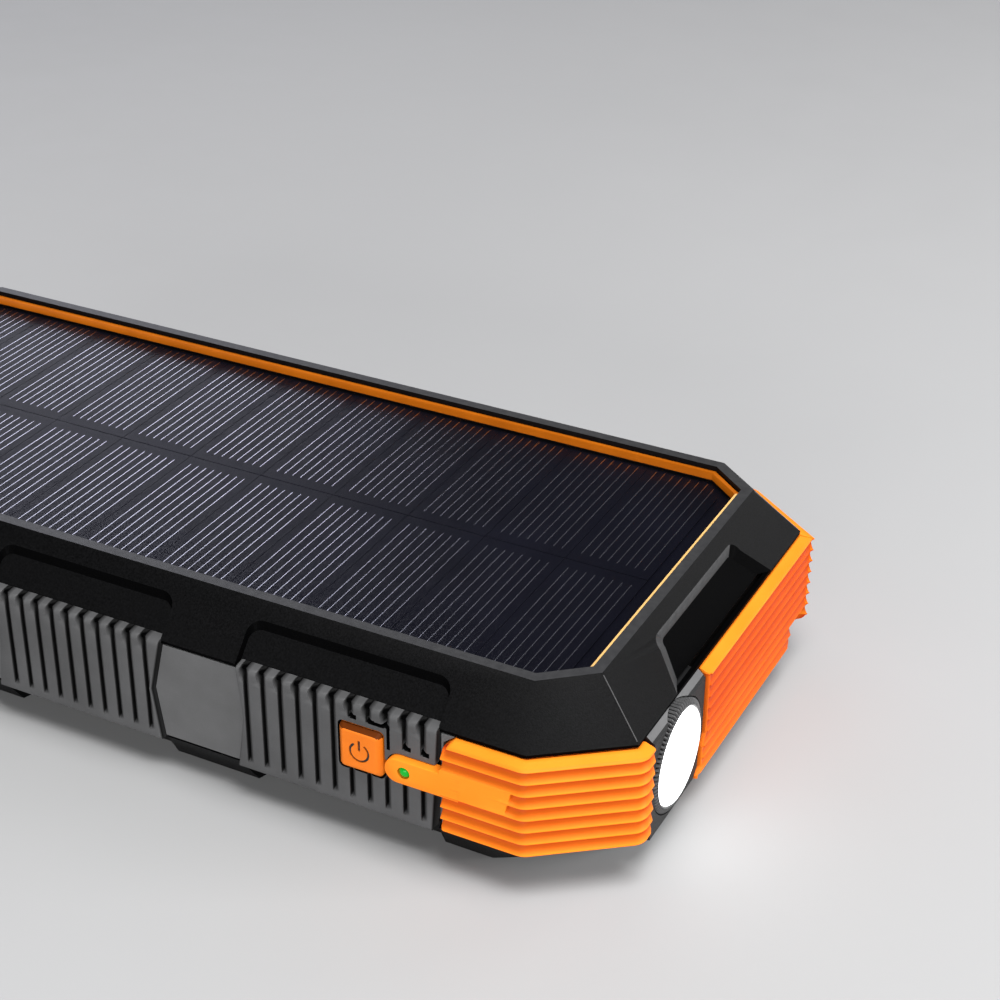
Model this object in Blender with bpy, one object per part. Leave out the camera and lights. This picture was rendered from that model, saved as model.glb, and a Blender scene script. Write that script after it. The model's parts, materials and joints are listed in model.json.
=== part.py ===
"""Rugged solar power bank: an octagonal case with a solar panel on top, ribbed side grips,
ribbed corner bumpers, a push button, a flashlight and a hinged cover over the charging ports.

Lengths below are in millimetres and become metres when a mesh is made. The origin is under the
middle of the case, on the surface it stands on. +X points to the flashlight end, -Y to the side
with the button, and +Z up, out of the solar panel. "Near" parts are on the -Y side, "far" parts
on the +Y side, "right" parts at +X and "left" parts at -X.
"""

import math
from collections import namedtuple

import bmesh
import bpy
from mathutils import Vector

MM = 0.001
GAP = 0.3

# Octagonal outlines: half length, half width, and the corner cut along X and along Y.
Plan = namedtuple("Plan", "length width cut_x cut_y")
BODY = Plan(91.6, 43.0, 13.0, 9.8)
RIM = Plan(84.0, 35.93, 7.6, 6.3)
REAR_RIM = Plan(87.9, 39.3, 16.2, 12.2)

# Levels above the surface the charger stands on.
TOP_Z = 32.0
SLOPE_Z = 24.3
WALL_TOP_Z = 23.6
WALL_BOTTOM_Z = 6.5
REAR_TOP_Z = 6.2
REAR_BOTTOM_Z = 0.6
REAR_FLOOR_Z = 2.8
LEDGE_Z = 28.0
FLANGE_Z = 26.6

# Depths of the walls and of the pockets that hold the rubber pieces.
POCKET = 1.7
WALL = 1.7
FRAME_WALL = 3.2
RIM_WIDTH = 1.8
RECESS = 0.9
RECESS_STEP = 1.3

# Solar panel.
CELLS_PER_ROW = 11
CELL_PITCH = 14.22
CELL_LENGTH = 13.7
ROW_GAP = 4.1
FILM_TOP_Z = 29.66

# Ribs: vertical grooves in the grips, horizontal crests on the bumpers and the port cover.
GRIP_PROUD = 0.9
GROOVE_DEPTH = 1.1
BUMPER_PROUD = 2.2
RIB_ROOT = 1.25
FIRST_CREST_Z = 22.9
CREST_PITCH = 2.127
BUMPER_CRESTS = 8
COVER_CRESTS = 9

# Button, status light and flashlight.
BUTTON_X, BUTTON_Z = 52.3, 16.9
BUTTON_SIZE = (7.3, 7.9)
LIGHT_X, LIGHT_Z = 60.0, 16.0
TONGUE_HEIGHT = 4.2
TORCH_Y, TORCH_Z = -20.9, 14.6
TORCH_FACE_X = 92.8

# Port cover hinge line, and the centres of the three ports.
HINGE_X, HINGE_Y = 93.9, 34.35
USB_A_YS = (22.5, 7.75)
USB_C_Y = -4.4
PORT_Z = 14.5
BOARD_TOP_Z = 11.4

# Screws and feet, as (X, Y) on the rear cover.
CORNER_SCREW = (75.0, 32.0)
MIDDLE_SCREW = (23.5, 36.3)
QUADRANTS = [(sx, sy) for sx in (1, -1) for sy in (-1, 1)]
SCREWS = [(sx * x, sy * y) for sx, sy in QUADRANTS for x, y in (CORNER_SCREW, MIDDLE_SCREW)]
FEET = [(sx * 58.0, sy * 26.0) for sx, sy in QUADRANTS]

PALETTE = {
    "frame_black": ((0.016, 0.016, 0.017), 0.55, 0.0),
    "grip_grey": ((0.15, 0.15, 0.152), 0.7, 0.0),
    "silicone_orange": ((0.95, 0.22, 0.02), 0.55, 0.0),
    "trim_orange": ((0.75, 0.25, 0.02), 0.4, 0.0),
    "cell_silicon": ((0.012, 0.013, 0.022), 0.3, 0.2),
    "clear_film": ((0.9, 0.92, 0.95), 0.1, 0.0),
    "board_green": ((0.02, 0.16, 0.06), 0.4, 0.0),
    "board_black": ((0.012, 0.012, 0.014), 0.4, 0.0),
    "steel": ((0.6, 0.6, 0.62), 0.3, 1.0),
    "connector_black": ((0.02, 0.02, 0.02), 0.5, 0.0),
    "lens_white": ((0.95, 0.95, 0.95), 0.15, 0.0),
    "reflector_chrome": ((0.85, 0.85, 0.86), 0.08, 1.0),
    "emitter_yellow": ((0.95, 0.8, 0.2), 0.4, 0.0),
    "light_green": ((0.02, 0.45, 0.08), 0.25, 0.0),
    "battery_foil": ((0.62, 0.63, 0.65), 0.35, 0.6),
    "foam_black": ((0.03, 0.03, 0.03), 0.95, 0.0),
    "rubber_black": ((0.02, 0.02, 0.02), 0.85, 0.0),
    "inductor_grey": ((0.12, 0.12, 0.13), 0.6, 0.2),
    "wire_red": ((0.6, 0.03, 0.02), 0.45, 0.0),
    "wire_black": ((0.02, 0.02, 0.02), 0.45, 0.0),
}


def clear_scene():
    for old in list(bpy.data.objects):
        bpy.data.objects.remove(old)


def material(name):
    found = bpy.data.materials.get(name)
    if found:
        return found
    colour, roughness, metallic = PALETTE[name]
    made = bpy.data.materials.new(name)
    made.use_nodes = True
    shader = made.node_tree.nodes["Principled BSDF"]
    shader.inputs["Base Color"].default_value = (*colour, 1.0)
    shader.inputs["Roughness"].default_value = roughness
    shader.inputs["Metallic"].default_value = metallic
    return made


def add_part(name, mesh, finish, origin=(0.0, 0.0, 0.0), smooth=False):
    """Turns a bmesh in millimetres into an object whose origin is at the given point."""
    bmesh.ops.recalc_face_normals(mesh, faces=mesh.faces)
    centre = Vector(origin)
    for vertex in mesh.verts:
        vertex.co = (vertex.co - centre) * MM
    data = bpy.data.meshes.new(name)
    mesh.to_mesh(data)
    mesh.free()
    part = bpy.data.objects.new(name, data)
    part.location = centre * MM
    bpy.context.scene.collection.objects.link(part)
    if finish:
        data.materials.append(material(finish))
    if smooth:
        data.shade_smooth()
        data.set_sharp_from_angle(angle=math.radians(35))
    return part


def combine(part, helpers, operation):
    """Adds one Boolean modifier that cuts the helper meshes from the part, or joins them to it."""
    name = f"{part.name}_{operation.lower()}"
    group = bpy.data.collections.new(name)
    bpy.context.scene.collection.children.link(group)
    for index, mesh in enumerate(helpers):
        helper = add_part(f"{name}_{index}", mesh, None)
        bpy.context.scene.collection.objects.unlink(helper)
        group.objects.link(helper)
        helper.hide_render = True
        helper.display_type = "WIRE"
    boolean = part.modifiers.new(operation.title(), "BOOLEAN")
    boolean.operation = operation
    boolean.operand_type = "COLLECTION"
    boolean.collection = group
    boolean.solver = "EXACT"


# Outlines and basic solids


def grown(plan, distance):
    """The octagon whose eight sides all lie this far outside the given one's."""
    normal = Vector((plan.cut_y, plan.cut_x)).normalized()
    reach = Vector((plan.length - plan.cut_x, plan.width)).dot(normal) + distance
    length, width = plan.length + distance, plan.width + distance
    cut_x = length - (reach - width * normal.y) / normal.x
    cut_y = width - (reach - length * normal.x) / normal.y
    return Plan(length, width, cut_x, cut_y)


def slope_plan(z):
    """The top frame's outer outline at a level on its slope."""
    share = (z - SLOPE_Z) / (TOP_Z - SLOPE_Z)
    return Plan(*(low + (high - low) * share for low, high in zip(BODY, RIM)))


def corners(plan):
    """The octagon's corners, anticlockwise, from the near corner of the right-hand end."""
    long_x, short_y = plan.length - plan.cut_x, plan.width - plan.cut_y
    half = [(plan.length, -short_y), (plan.length, short_y), (long_x, plan.width)]
    half.append((-long_x, plan.width))
    return half + [(-x, -y) for x, y in half]


def ring(plan, z):
    return [(x, y, z) for x, y in corners(plan)]


def loft(rings, closed=False):
    """Joins rings of equally many points. A closed loft ends where it starts, else both ends are capped."""
    mesh = bmesh.new()
    loops = [[mesh.verts.new(point) for point in points] for points in rings]
    following = loops[1:] + loops[:1] if closed else loops[1:]
    for lower, upper in zip(loops, following):
        for i in range(len(lower)):
            mesh.faces.new((lower[i - 1], lower[i], upper[i], upper[i - 1]))
    if not closed:
        mesh.faces.new(loops[0])
        mesh.faces.new(loops[-1])
    return mesh


def lifted(points, axis, height):
    """Flat points at a height along an axis: (y, z) along X, (x, z) along Y, (x, y) along Z."""
    at = "XYZ".index(axis)
    return [(*point[:at], height, *point[at:]) for point in points]


def prism(outline, axis, low, high):
    return loft([lifted(outline, axis, low), lifted(outline, axis, high)])


def block(low, high):
    outline = [(low[0], low[1]), (high[0], low[1]), (high[0], high[1]), (low[0], high[1])]
    return prism(outline, "Z", low[2], high[2])


def circle(centre, radius, steps):
    turns = [2 * math.pi * i / steps for i in range(steps)]
    return [(centre[0] + radius * math.cos(t), centre[1] + radius * math.sin(t)) for t in turns]


def lathe(profile, axis, centre, steps, hollow=False):
    """Turns (radius, height) points round an axis. A hollow profile closes on itself as a ring."""
    rings = [lifted(circle(centre, radius, steps), axis, height) for radius, height in profile]
    return loft(rings, closed=hollow)


def cylinder(axis, centre, radius, low, high, steps=24):
    return lathe([(radius, low), (radius, high)], axis, centre, steps)


def rounded_box(centre, size, radius, steps=4):
    """A flat rectangle outline with rounded corners."""
    points = []
    for quarter, (sx, sy) in enumerate(((1, 1), (-1, 1), (-1, -1), (1, -1))):
        hub = (centre[0] + sx * (size[0] / 2 - radius), centre[1] + sy * (size[1] / 2 - radius))
        for i in range(steps + 1):
            turn = math.pi / 2 * (quarter + i / steps)
            points.append((hub[0] + radius * math.cos(turn), hub[1] + radius * math.sin(turn)))
    return points


# Recesses in the sloping faces


def arch(bottom_half, top_half, low, high, radius, steps=4):
    """An outline in slope coordinates: flat at the bottom, with its two top corners rounded."""
    points = [(-bottom_half, low), (bottom_half, low)]
    for start, sx in ((0.0, 1), (math.pi / 2, -1)):
        hub = (sx * (top_half - radius), high - radius)
        for i in range(steps + 1):
            turn = start + math.pi / 2 * i / steps
            points.append((hub[0] + radius * math.cos(turn), hub[1] + radius * math.sin(turn)))
    return points


def slope_cutter(outer, inner, depth, place):
    """A cutter from just above a sloping face down to a recess floor. place(u, up, out) is a 3-D point."""
    lip = [tuple(Vector(rim) * 2 - Vector(floor)) for rim, floor in zip(outer, inner)]
    rings = [(lip, depth), (outer, 0.0), (inner, -depth)]
    return loft([[place(u, up, out) for u, up in outline] for outline, out in rings])


def slope_place(start, top, middle, side, along_x):
    """Maps slope coordinates to points. start and top are (distance from the middle, z) of the slope's
    lower and upper edge; middle is where u is 0 along the edge; side is +1 or -1."""
    rise = (Vector(top) - Vector(start)).normalized()
    normal = Vector((abs(rise.y), abs(rise.x) * math.copysign(1, rise.y)))

    def place(u, up, out):
        reach, z = Vector(start) + rise * up + normal * out
        if along_x:
            return (middle + u, side * reach, z)
        return (side * reach, middle + u, z)

    return place


def frame_recesses():
    """Arched recesses over the three grips on each long side, and one wide recess on each end."""
    cutters = []
    for side in (-1, 1):
        for middle, half in ((0.0, 16.6), (47.4, 17.3), (-47.4, 17.3)):
            place = slope_place((BODY.width, SLOPE_Z), (RIM.width, TOP_Z), middle, side, True)
            outer = arch(half, half, -3.0, 7.4, 2.4)
            inner = arch(half - 0.3, half - 0.3, -3.0, 7.4 - RECESS_STEP, 2.0)
            cutters.append(slope_cutter(outer, inner, RECESS, place))
        place = slope_place((BODY.length, SLOPE_Z), (RIM.length, TOP_Z), 0.0, side, False)
        outer = arch(21.0, 16.0, -3.0, 8.2, 2.0)
        inner = arch(19.6, 14.6, -3.0, 6.7, 1.2)
        cutters.append(slope_cutter(outer, inner, 1.1, place))
    return cutters


def rear_recesses():
    """The same recesses turned over, under the grips and at both ends of the rear cover."""
    cutters = []
    for side in (-1, 1):
        for middle, half in ((0.0, 16.8), (47.2, 17.9), (-47.2, 17.9)):
            start, top = (BODY.width, REAR_TOP_Z), (REAR_RIM.width, REAR_BOTTOM_Z)
            place = slope_place(start, top, middle, side, True)
            outer = arch(half, half - 1.5, -3.0, 9.0, 1.5, 2)
            inner = arch(half - 0.3, half - 1.8, -3.0, 8.6, 1.5, 2)
            cutters.append(slope_cutter(outer, inner, 1.3, place))
    place = slope_place((BODY.length, REAR_TOP_Z), (REAR_RIM.length, REAR_BOTTOM_Z), 0.0, -1, False)
    outer, inner = arch(20.0, 17.0, -3.0, 4.6, 1.5), arch(19.0, 16.0, -3.0, 3.8, 1.2)
    cutters.append(slope_cutter(outer, inner, 0.9, place))
    return cutters


# Case


def at_corner(screw):
    return abs(screw[0]) > MIDDLE_SCREW[0]


def make_top_frame():
    sloping_inside = grown(slope_plan(FLANGE_Z), -FRAME_WALL)
    rings = [
        ring(BODY, SLOPE_Z),
        ring(RIM, TOP_Z),
        ring(grown(RIM, -RIM_WIDTH), TOP_Z),
        ring(grown(RIM, -RIM_WIDTH), LEDGE_Z),
        ring(grown(RIM, -6.0), LEDGE_Z),
        ring(grown(RIM, -6.0), FLANGE_Z),
        ring(sloping_inside, FLANGE_Z),
        ring(grown(BODY, -FRAME_WALL), SLOPE_Z),
    ]
    frame = add_part("top_frame", loft(rings, closed=True), "frame_black")
    posts = [cylinder("Z", at, 2.8 if at_corner(at) else 2.4, 5.6, 27.2, 12) for at in SCREWS]
    combine(frame, posts, "UNION")
    pilots = [cylinder("Z", at, 1.15, 4.0, 19.0, 8) for at in SCREWS]
    combine(frame, frame_recesses() + pilots, "DIFFERENCE")


def patch_outline(side):
    """The raised smooth area between two grips, in (x, z), widest at mid height."""
    points = [(17.0, WALL_TOP_Z), (15.0, 15.2), (16.2, WALL_BOTTOM_Z)]
    points += [(29.8, WALL_BOTTOM_Z), (31.2, 15.2), (30.3, WALL_TOP_Z)]
    return [(side * x, z) for x, z in points]


def corner_patch_outline(side):
    """The sliver of wall between an outer grip and a corner bumper, wider at the top."""
    points = [(65.15, 7.0), (65.5, 7.0), (65.5, 22.1), (67.3, WALL_TOP_Z), (65.15, WALL_TOP_Z)]
    return [(side * x, z) for x, z in points]


def make_mid_housing():
    outside, inside = grown(BODY, -POCKET), grown(BODY, -POCKET - WALL)
    rings = [
        ring(outside, WALL_BOTTOM_Z),
        ring(outside, WALL_TOP_Z),
        ring(inside, WALL_TOP_Z),
        ring(inside, WALL_BOTTOM_Z),
    ]
    housing = add_part("mid_housing", loft(rings, closed=True), "grip_grey")
    raised = []
    for end in (1, -1):
        for side in (-1, 1):
            for outline in (patch_outline(end), corner_patch_outline(end)):
                raised.append(prism(outline, "Y", side * 40.6, side * BODY.width))
    end_patch = [(-30.0, 7.0), (-28.8, 15.2), (-30.0, WALL_TOP_Z)]
    end_patch += [(-y, z) for y, z in reversed(end_patch)]
    raised.append(prism(end_patch, "X", -BODY.length, -88.9))
    combine(housing, raised, "UNION")
    cutters = [block((84.0, -30.6, 0.0), (96.0, -10.7, 30.0))]
    for y, half_width, half_height in [(y, 6.9, 3.2) for y in USB_A_YS] + [(USB_C_Y, 4.8, 1.95)]:
        low, high = (y - half_width, PORT_Z - half_height), (y + half_width, PORT_Z + half_height)
        cutters.append(block((84.0, *low), (96.0, *high)))
    cutters.append(prism(rounded_box((BUTTON_X, BUTTON_Z), (8.1, 8.7), 1.0), "Y", -50.0, -30.0))
    cutters.append(cylinder("Y", (LIGHT_X, LIGHT_Z), 1.3, -50.0, -30.0, 16))
    combine(housing, cutters, "DIFFERENCE")


def make_case_seal():
    outer, inner = grown(BODY, -POCKET - 0.1), grown(BODY, -POCKET - WALL + 0.2)
    low, high = WALL_TOP_Z + 0.15, SLOPE_Z - 0.15
    rings = [ring(outer, low), ring(outer, high), ring(inner, high), ring(inner, low)]
    add_part("case_seal", loft(rings, closed=True), "rubber_black")


def make_rear_cover():
    rings = [
        ring(REAR_RIM, REAR_BOTTOM_Z),
        ring(BODY, REAR_TOP_Z),
        ring(grown(BODY, -3.0), REAR_TOP_Z),
        ring(grown(REAR_RIM, -3.4), REAR_FLOOR_Z),
    ]
    cover = add_part("rear_cover", loft(rings), "frame_black")
    pads = [cylinder("Z", at, 3.8 if at_corner(at) else 2.6, 2.0, 5.2, 12) for at in SCREWS]
    combine(cover, pads, "UNION")
    holes = [cylinder("Z", at, 1.4, 0.0, 6.0, 8) for at in SCREWS]
    counterbores = [cylinder("Z", at, 2.3, 0.0, 2.3, 12) for at in SCREWS]
    foot_pockets = [cylinder("Z", at, 5.3, 0.0, 1.7, 16) for at in FEET]
    torch_notch = [block((84.0, -30.6, 4.9), (96.0, -10.7, 12.0))]
    rear_panel = [prism(rounded_box((0.0, 0.0), (84.0, 40.0), 3.0), "Z", 0.0, 0.9)]
    cutters = rear_recesses() + holes + counterbores + foot_pockets + torch_notch + rear_panel
    combine(cover, cutters, "DIFFERENCE")


def make_feet():
    for index, at in enumerate(FEET):
        profile = [(4.2, 0.0), (4.9, 0.6), (4.9, 1.4)]
        add_part(f"foot_{index + 1}", lathe(profile, "Z", at, 16), "rubber_black", smooth=True)


def make_screws():
    """Self-tapping screws with a socket in the head, driven up from the rear cover."""
    for index, at in enumerate(SCREWS):
        head = [(0.7, 1.5), (0.9, 0.7), (2.0, 0.8), (2.0, 2.0), (0.9, 2.0), (0.9, 17.4), (0.3, 18.4)]
        name = f"case_screw_{index + 1}"
        add_part(name, lathe(head, "Z", at, 8), "steel", origin=(*at, 0.0), smooth=True)


# Solar panel


def make_panel():
    tray = grown(RIM, -RIM_WIDTH - 0.15)
    add_part("panel_board", loft([ring(tray, 28.2), ring(tray, 28.9)]), "board_black")
    add_part("panel_cover_film", loft([ring(tray, 29.32), ring(tray, FILM_TOP_Z)]), "clear_film")
    trim_inside = grown(tray, -0.75)
    rings = [
        ring(tray, FILM_TOP_Z + 0.12),
        ring(tray, TOP_Z - 0.8),
        ring(trim_inside, TOP_Z - 0.8),
        ring(trim_inside, FILM_TOP_Z + 0.12),
    ]
    add_part("panel_trim", loft(rings, closed=True), "trim_orange")
    half_depth = (trim_inside.width - ROW_GAP / 2) / 2
    for name, side in (("cell_string_near", -1), ("cell_string_far", 1)):
        middle = side * (ROW_GAP / 2 + half_depth)
        make_cell_string(name, middle, half_depth - 0.3)


def make_cell_string(name, middle, half_depth):
    """A row of cells joined by two thin ribbons that run under them. The end cells lose a corner."""
    low, high = 29.02, 29.22
    last = (CELLS_PER_ROW - 1) // 2
    side = math.copysign(1, middle)
    ribbon_end = last * CELL_PITCH + CELL_LENGTH / 2 - 1.0
    ribbons = []
    for y in (middle - 8.0, middle + 8.0):
        ribbons.append(block((-ribbon_end, y - 0.5, 28.95), (ribbon_end, y + 0.5, 29.1)))
    string = add_part(name, ribbons[0], "cell_silicon")
    pieces = [ribbons[1]]
    for index in range(-last, last + 1):
        x = index * CELL_PITCH
        left, right = x - CELL_LENGTH / 2, x + CELL_LENGTH / 2
        inner, outer = middle - side * half_depth, middle + side * half_depth
        outline = [(left, inner), (right, inner)]
        outline += [(right, outer - side * 4.2), (right - 2.6, outer)] if index == last else [(right, outer)]
        outline += [(left + 2.6, outer), (left, outer - side * 4.2)] if index == -last else [(left, outer)]
        pieces.append(prism(outline, "Z", low, high))
    combine(string, pieces, "UNION")


# Side grips, corner bumpers and port cover


def groove_centres(middle, count, pitch):
    return [middle + (i - (count - 1) / 2) * pitch for i in range(count)]


def comb_outline(left, right, grooves, side):
    """A ribbed strip seen from above: a flat back and one V-sided groove at each centre."""
    face, back = BODY.width + GRIP_PROUD, BODY.width - POCKET + GAP
    floor = face - GROOVE_DEPTH
    points = [(left, back), (left, face)]
    for x in grooves:
        points += [(x - 0.62, face), (x - 0.2, floor), (x + 0.2, floor), (x + 0.62, face)]
    points += [(right, face), (right, back)]
    return [(x, side * y) for x, y in points]


def grip_shape(inner, outer, mirror):
    """The grip's outline in (x, z); the ends lean so that they fit the raised patches beside them."""
    points = [(inner[2], 5.8), (inner[1], 15.2), (inner[0], 24.0)]
    points += [(outer[0], 24.0), (outer[1], 15.2), (outer[2], 5.8)]
    return [(mirror * x, z) for x, z in points]


def make_grip(name, side, shape, grooves, extra_cuts=()):
    left, right = min(x for x, z in shape) - 1.0, max(x for x, z in shape) + 1.0
    grip = add_part(name, prism(comb_outline(left, right, grooves, side), "Z", 7.4, 25.0), "grip_grey")
    face, back = BODY.width + GRIP_PROUD, BODY.width - POCKET + GAP
    near, far = sorted((side * face, side * back))
    combine(grip, [block((left, near, 4.0), (right, far, 7.6))], "UNION")
    outline = prism(shape, "Y", side * 30.0, side * 50.0)
    combine(grip, [outline], "INTERSECT")
    if extra_cuts:
        combine(grip, list(extra_cuts), "DIFFERENCE")


def make_grips():
    middle_grooves = groove_centres(-0.4, 10, 2.9)
    edge = [16.7, 14.7, 15.9]
    middle_shape = grip_shape([-x for x in edge], edge, 1)
    inner, outer = (30.6, 31.5, 30.1), (64.85, 64.5, 63.9)
    button_hole = prism(rounded_box((BUTTON_X, BUTTON_Z), (7.9, 8.5), 1.0), "Y", -50.0, -30.0)
    bed_height = TONGUE_HEIGHT + 2 * GAP
    tongue_bed = rounded_box((LIGHT_X + 3.0, LIGHT_Z), (13.2, bed_height), bed_height / 2 - 0.05)
    cuts = [
        button_hole,
        prism(tongue_bed, "Y", -50.0, -42.5),
        cylinder("Y", (LIGHT_X, LIGHT_Z), 1.2, -50.0, -30.0, 16),
    ]
    for row, side in (("near", -1), ("far", 1)):
        make_grip(f"grip_{row}_middle", side, middle_shape, middle_grooves)
        for end, mirror in (("right", 1), ("left", -1)):
            grooves = groove_centres(mirror * 47.5 - 0.4, 12, 2.88)
            extra = cuts if (row, end) == ("near", "right") else ()
            make_grip(f"grip_{row}_{end}", side, grip_shape(inner, outer, mirror), grooves, extra)


def rib_section(back, crests, ledge_inner, bottom):
    """A ribbed strip's cross-section as (distance outside the case, z): a ledge, then flared ribs."""
    points = [(back, ledge_inner - 0.2), (0.1, ledge_inner)]
    for i in range(crests):
        z = FIRST_CREST_Z - i * CREST_PITCH
        points += [(BUMPER_PROUD, z), (RIB_ROOT, z - 0.35)]
    points += [(0.5, bottom), (0.35, WALL_BOTTOM_Z + GAP), (back, WALL_BOTTOM_Z + GAP)]
    return points


# What is cut from a bumper's two ends, as (x, z) on the long side and (y, z) on the end face.
BUMPER_START = [(60.0, 4.0), (66.9, 4.0), (66.9, 7.4), (65.8, 8.3), (65.8, 22.0), (67.9, 23.8), (67.9, 26.0)]
BUMPER_START.append((60.0, 26.0))
BUMPER_TIP = [(20.0, 4.0), (31.8, 4.0), (31.8, 7.0), (30.8, 8.6), (30.8, 22.5), (31.3, 23.8), (31.3, 26.0)]
BUMPER_TIP.append((20.0, 26.0))


def corner_stations(section, end, side, start_x, tip_y):
    """The section placed along a corner: on the long side, at both creases, and on the end face if asked."""
    stations = [[], [], []] + ([[]] if tip_y else [])
    for out, z in section:
        around = grown(BODY, out)
        long_x, short_y = around.length - around.cut_x, around.width - around.cut_y
        places = [(start_x, around.width), (long_x, around.width)]
        places += [(around.length, short_y), (around.length, tip_y)]
        for station, (x, y) in zip(stations, places):
            station.append((end * x, side * y, z))
    return stations


def make_bumper(name, end, side, to_tip):
    """A ribbed strip that wraps one corner, from the long side round to the end of the case."""
    section = rib_section(-POCKET + 0.4, BUMPER_CRESTS, 23.6, 6.9)
    mesh = loft(corner_stations(section, end, side, 64.0, 28.0 if to_tip else None))
    bumper = add_part(name, mesh, "silicone_orange")
    start = [(end * x, z) for x, z in BUMPER_START]
    cutters = [prism(start, "Y", side * 30.0, side * 50.0)]
    if to_tip:
        tip = [(side * y, z) for y, z in BUMPER_TIP]
        cutters.append(prism(tip, "X", end * 80.0, end * 100.0))
    combine(bumper, cutters, "DIFFERENCE")
    return bumper


def make_bumpers():
    make_bumper("bumper_far_right", 1, 1, False)
    make_bumper("bumper_near_left", -1, -1, True)
    make_bumper("bumper_far_left", -1, 1, True)
    with_tongue = make_bumper("bumper_near_right", 1, -1, True)
    tongue = rounded_box((67.4, LIGHT_Z), (21.2, TONGUE_HEIGHT), TONGUE_HEIGHT / 2 - 0.05, 6)
    combine(with_tongue, [prism(tongue, "Y", -45.1, -43.3)], "UNION")
    combine(with_tongue, [cylinder("Y", (LIGHT_X, LIGHT_Z), 1.2, -50.0, -40.0, 16)], "DIFFERENCE")


# The port cover's outline on the end face, as (y, z).
COVER_OUTLINE = [(-13.2, 5.6), (-11.8, 6.4), (-11.8, 10.4), (-10.6, 12.0), (-10.6, 26.0), (40.0, 26.0)]
COVER_OUTLINE += [(40.0, 10.3), (27.0, 9.9), (27.0, 6.6), (25.0, 5.6)]


def make_port_cover():
    section = rib_section(-POCKET + 0.45, COVER_CRESTS, 23.6, 5.5)
    stations = [[], []]
    for out, z in section:
        around = grown(BODY, out)
        stations[0].append((around.length, -16.0, z))
        stations[1].append((around.length, around.width - around.cut_y - GAP, z))
    hinge = (HINGE_X, HINGE_Y, PORT_Z)
    cover = add_part("port_cover", loft(stations), "silicone_orange", origin=hinge)
    combine(cover, [prism(COVER_OUTLINE, "X", 80.0, 100.0)], "INTERSECT")
    back = BODY.length - POCKET + 0.45
    plugs = []
    for y, half_width, half_height in [(y, 5.0, 2.2) for y in USB_A_YS] + [(USB_C_Y, 3.2, 1.1)]:
        low, high = (y - half_width, PORT_Z - half_height), (y + half_width, PORT_Z + half_height)
        plugs.append(block((back - 1.4, *low), (back + 0.5, *high)))
    combine(cover, plugs, "UNION")


# Button, status light and flashlight


def make_button():
    """An orange key in the grip, on a flange that keeps it inside the wall, and its switch behind."""
    origin = (BUTTON_X, -44.6, BUTTON_Z)
    width, height = BUTTON_SIZE
    rings = []
    for y, inset in ((-39.0, 0.0), (-44.0, 0.0), (-44.6, 0.6)):
        outline = rounded_box((BUTTON_X, BUTTON_Z), (width - 2 * inset, height - 2 * inset), 0.7, 3)
        rings.append(lifted(outline, "Y", y))
    button = add_part("power_button", loft(rings), "silicone_orange", origin=origin)
    flange = prism(rounded_box((BUTTON_X, BUTTON_Z), (9.6, 10.2), 1.0, 3), "Y", -39.3, -38.5)
    combine(button, [flange], "UNION")
    centre = (BUTTON_X, BUTTON_Z)
    plunger = cylinder("Y", centre, 1.1, -38.2, -36.0, 16)
    add_part("switch_plunger", plunger, "connector_black", origin=(BUTTON_X, -38.2, BUTTON_Z), smooth=True)
    body = block((BUTTON_X - 3.2, -37.4, BOARD_TOP_Z + 0.2), (BUTTON_X + 3.2, -33.4, 20.2))
    switch = add_part("power_switch", body, "connector_black")
    combine(switch, [cylinder("Y", centre, 1.4, -40.0, -35.0, 16)], "DIFFERENCE")


def make_status_light():
    pipe = lathe([(0.7, -45.2), (0.9, -45.0), (0.9, -38.3)], "Y", (LIGHT_X, LIGHT_Z), 16)
    add_part("status_light_pipe", pipe, "light_green", smooth=True)
    dome = [(0.6, -38.0), (1.2, -37.7), (1.5, -37.0), (1.5, -34.6), (1.8, -34.6), (1.8, -34.0)]
    led = add_part("status_led", lathe(dome, "Y", (LIGHT_X, LIGHT_Z), 16), "light_green", smooth=True)
    legs = []
    for x in (LIGHT_X - 1.0, LIGHT_X + 1.0):
        legs.append(block((x - 0.25, -34.5, BOARD_TOP_Z + 0.1), (x + 0.25, -34.05, LIGHT_Z)))
    combine(led, legs, "UNION")


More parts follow.
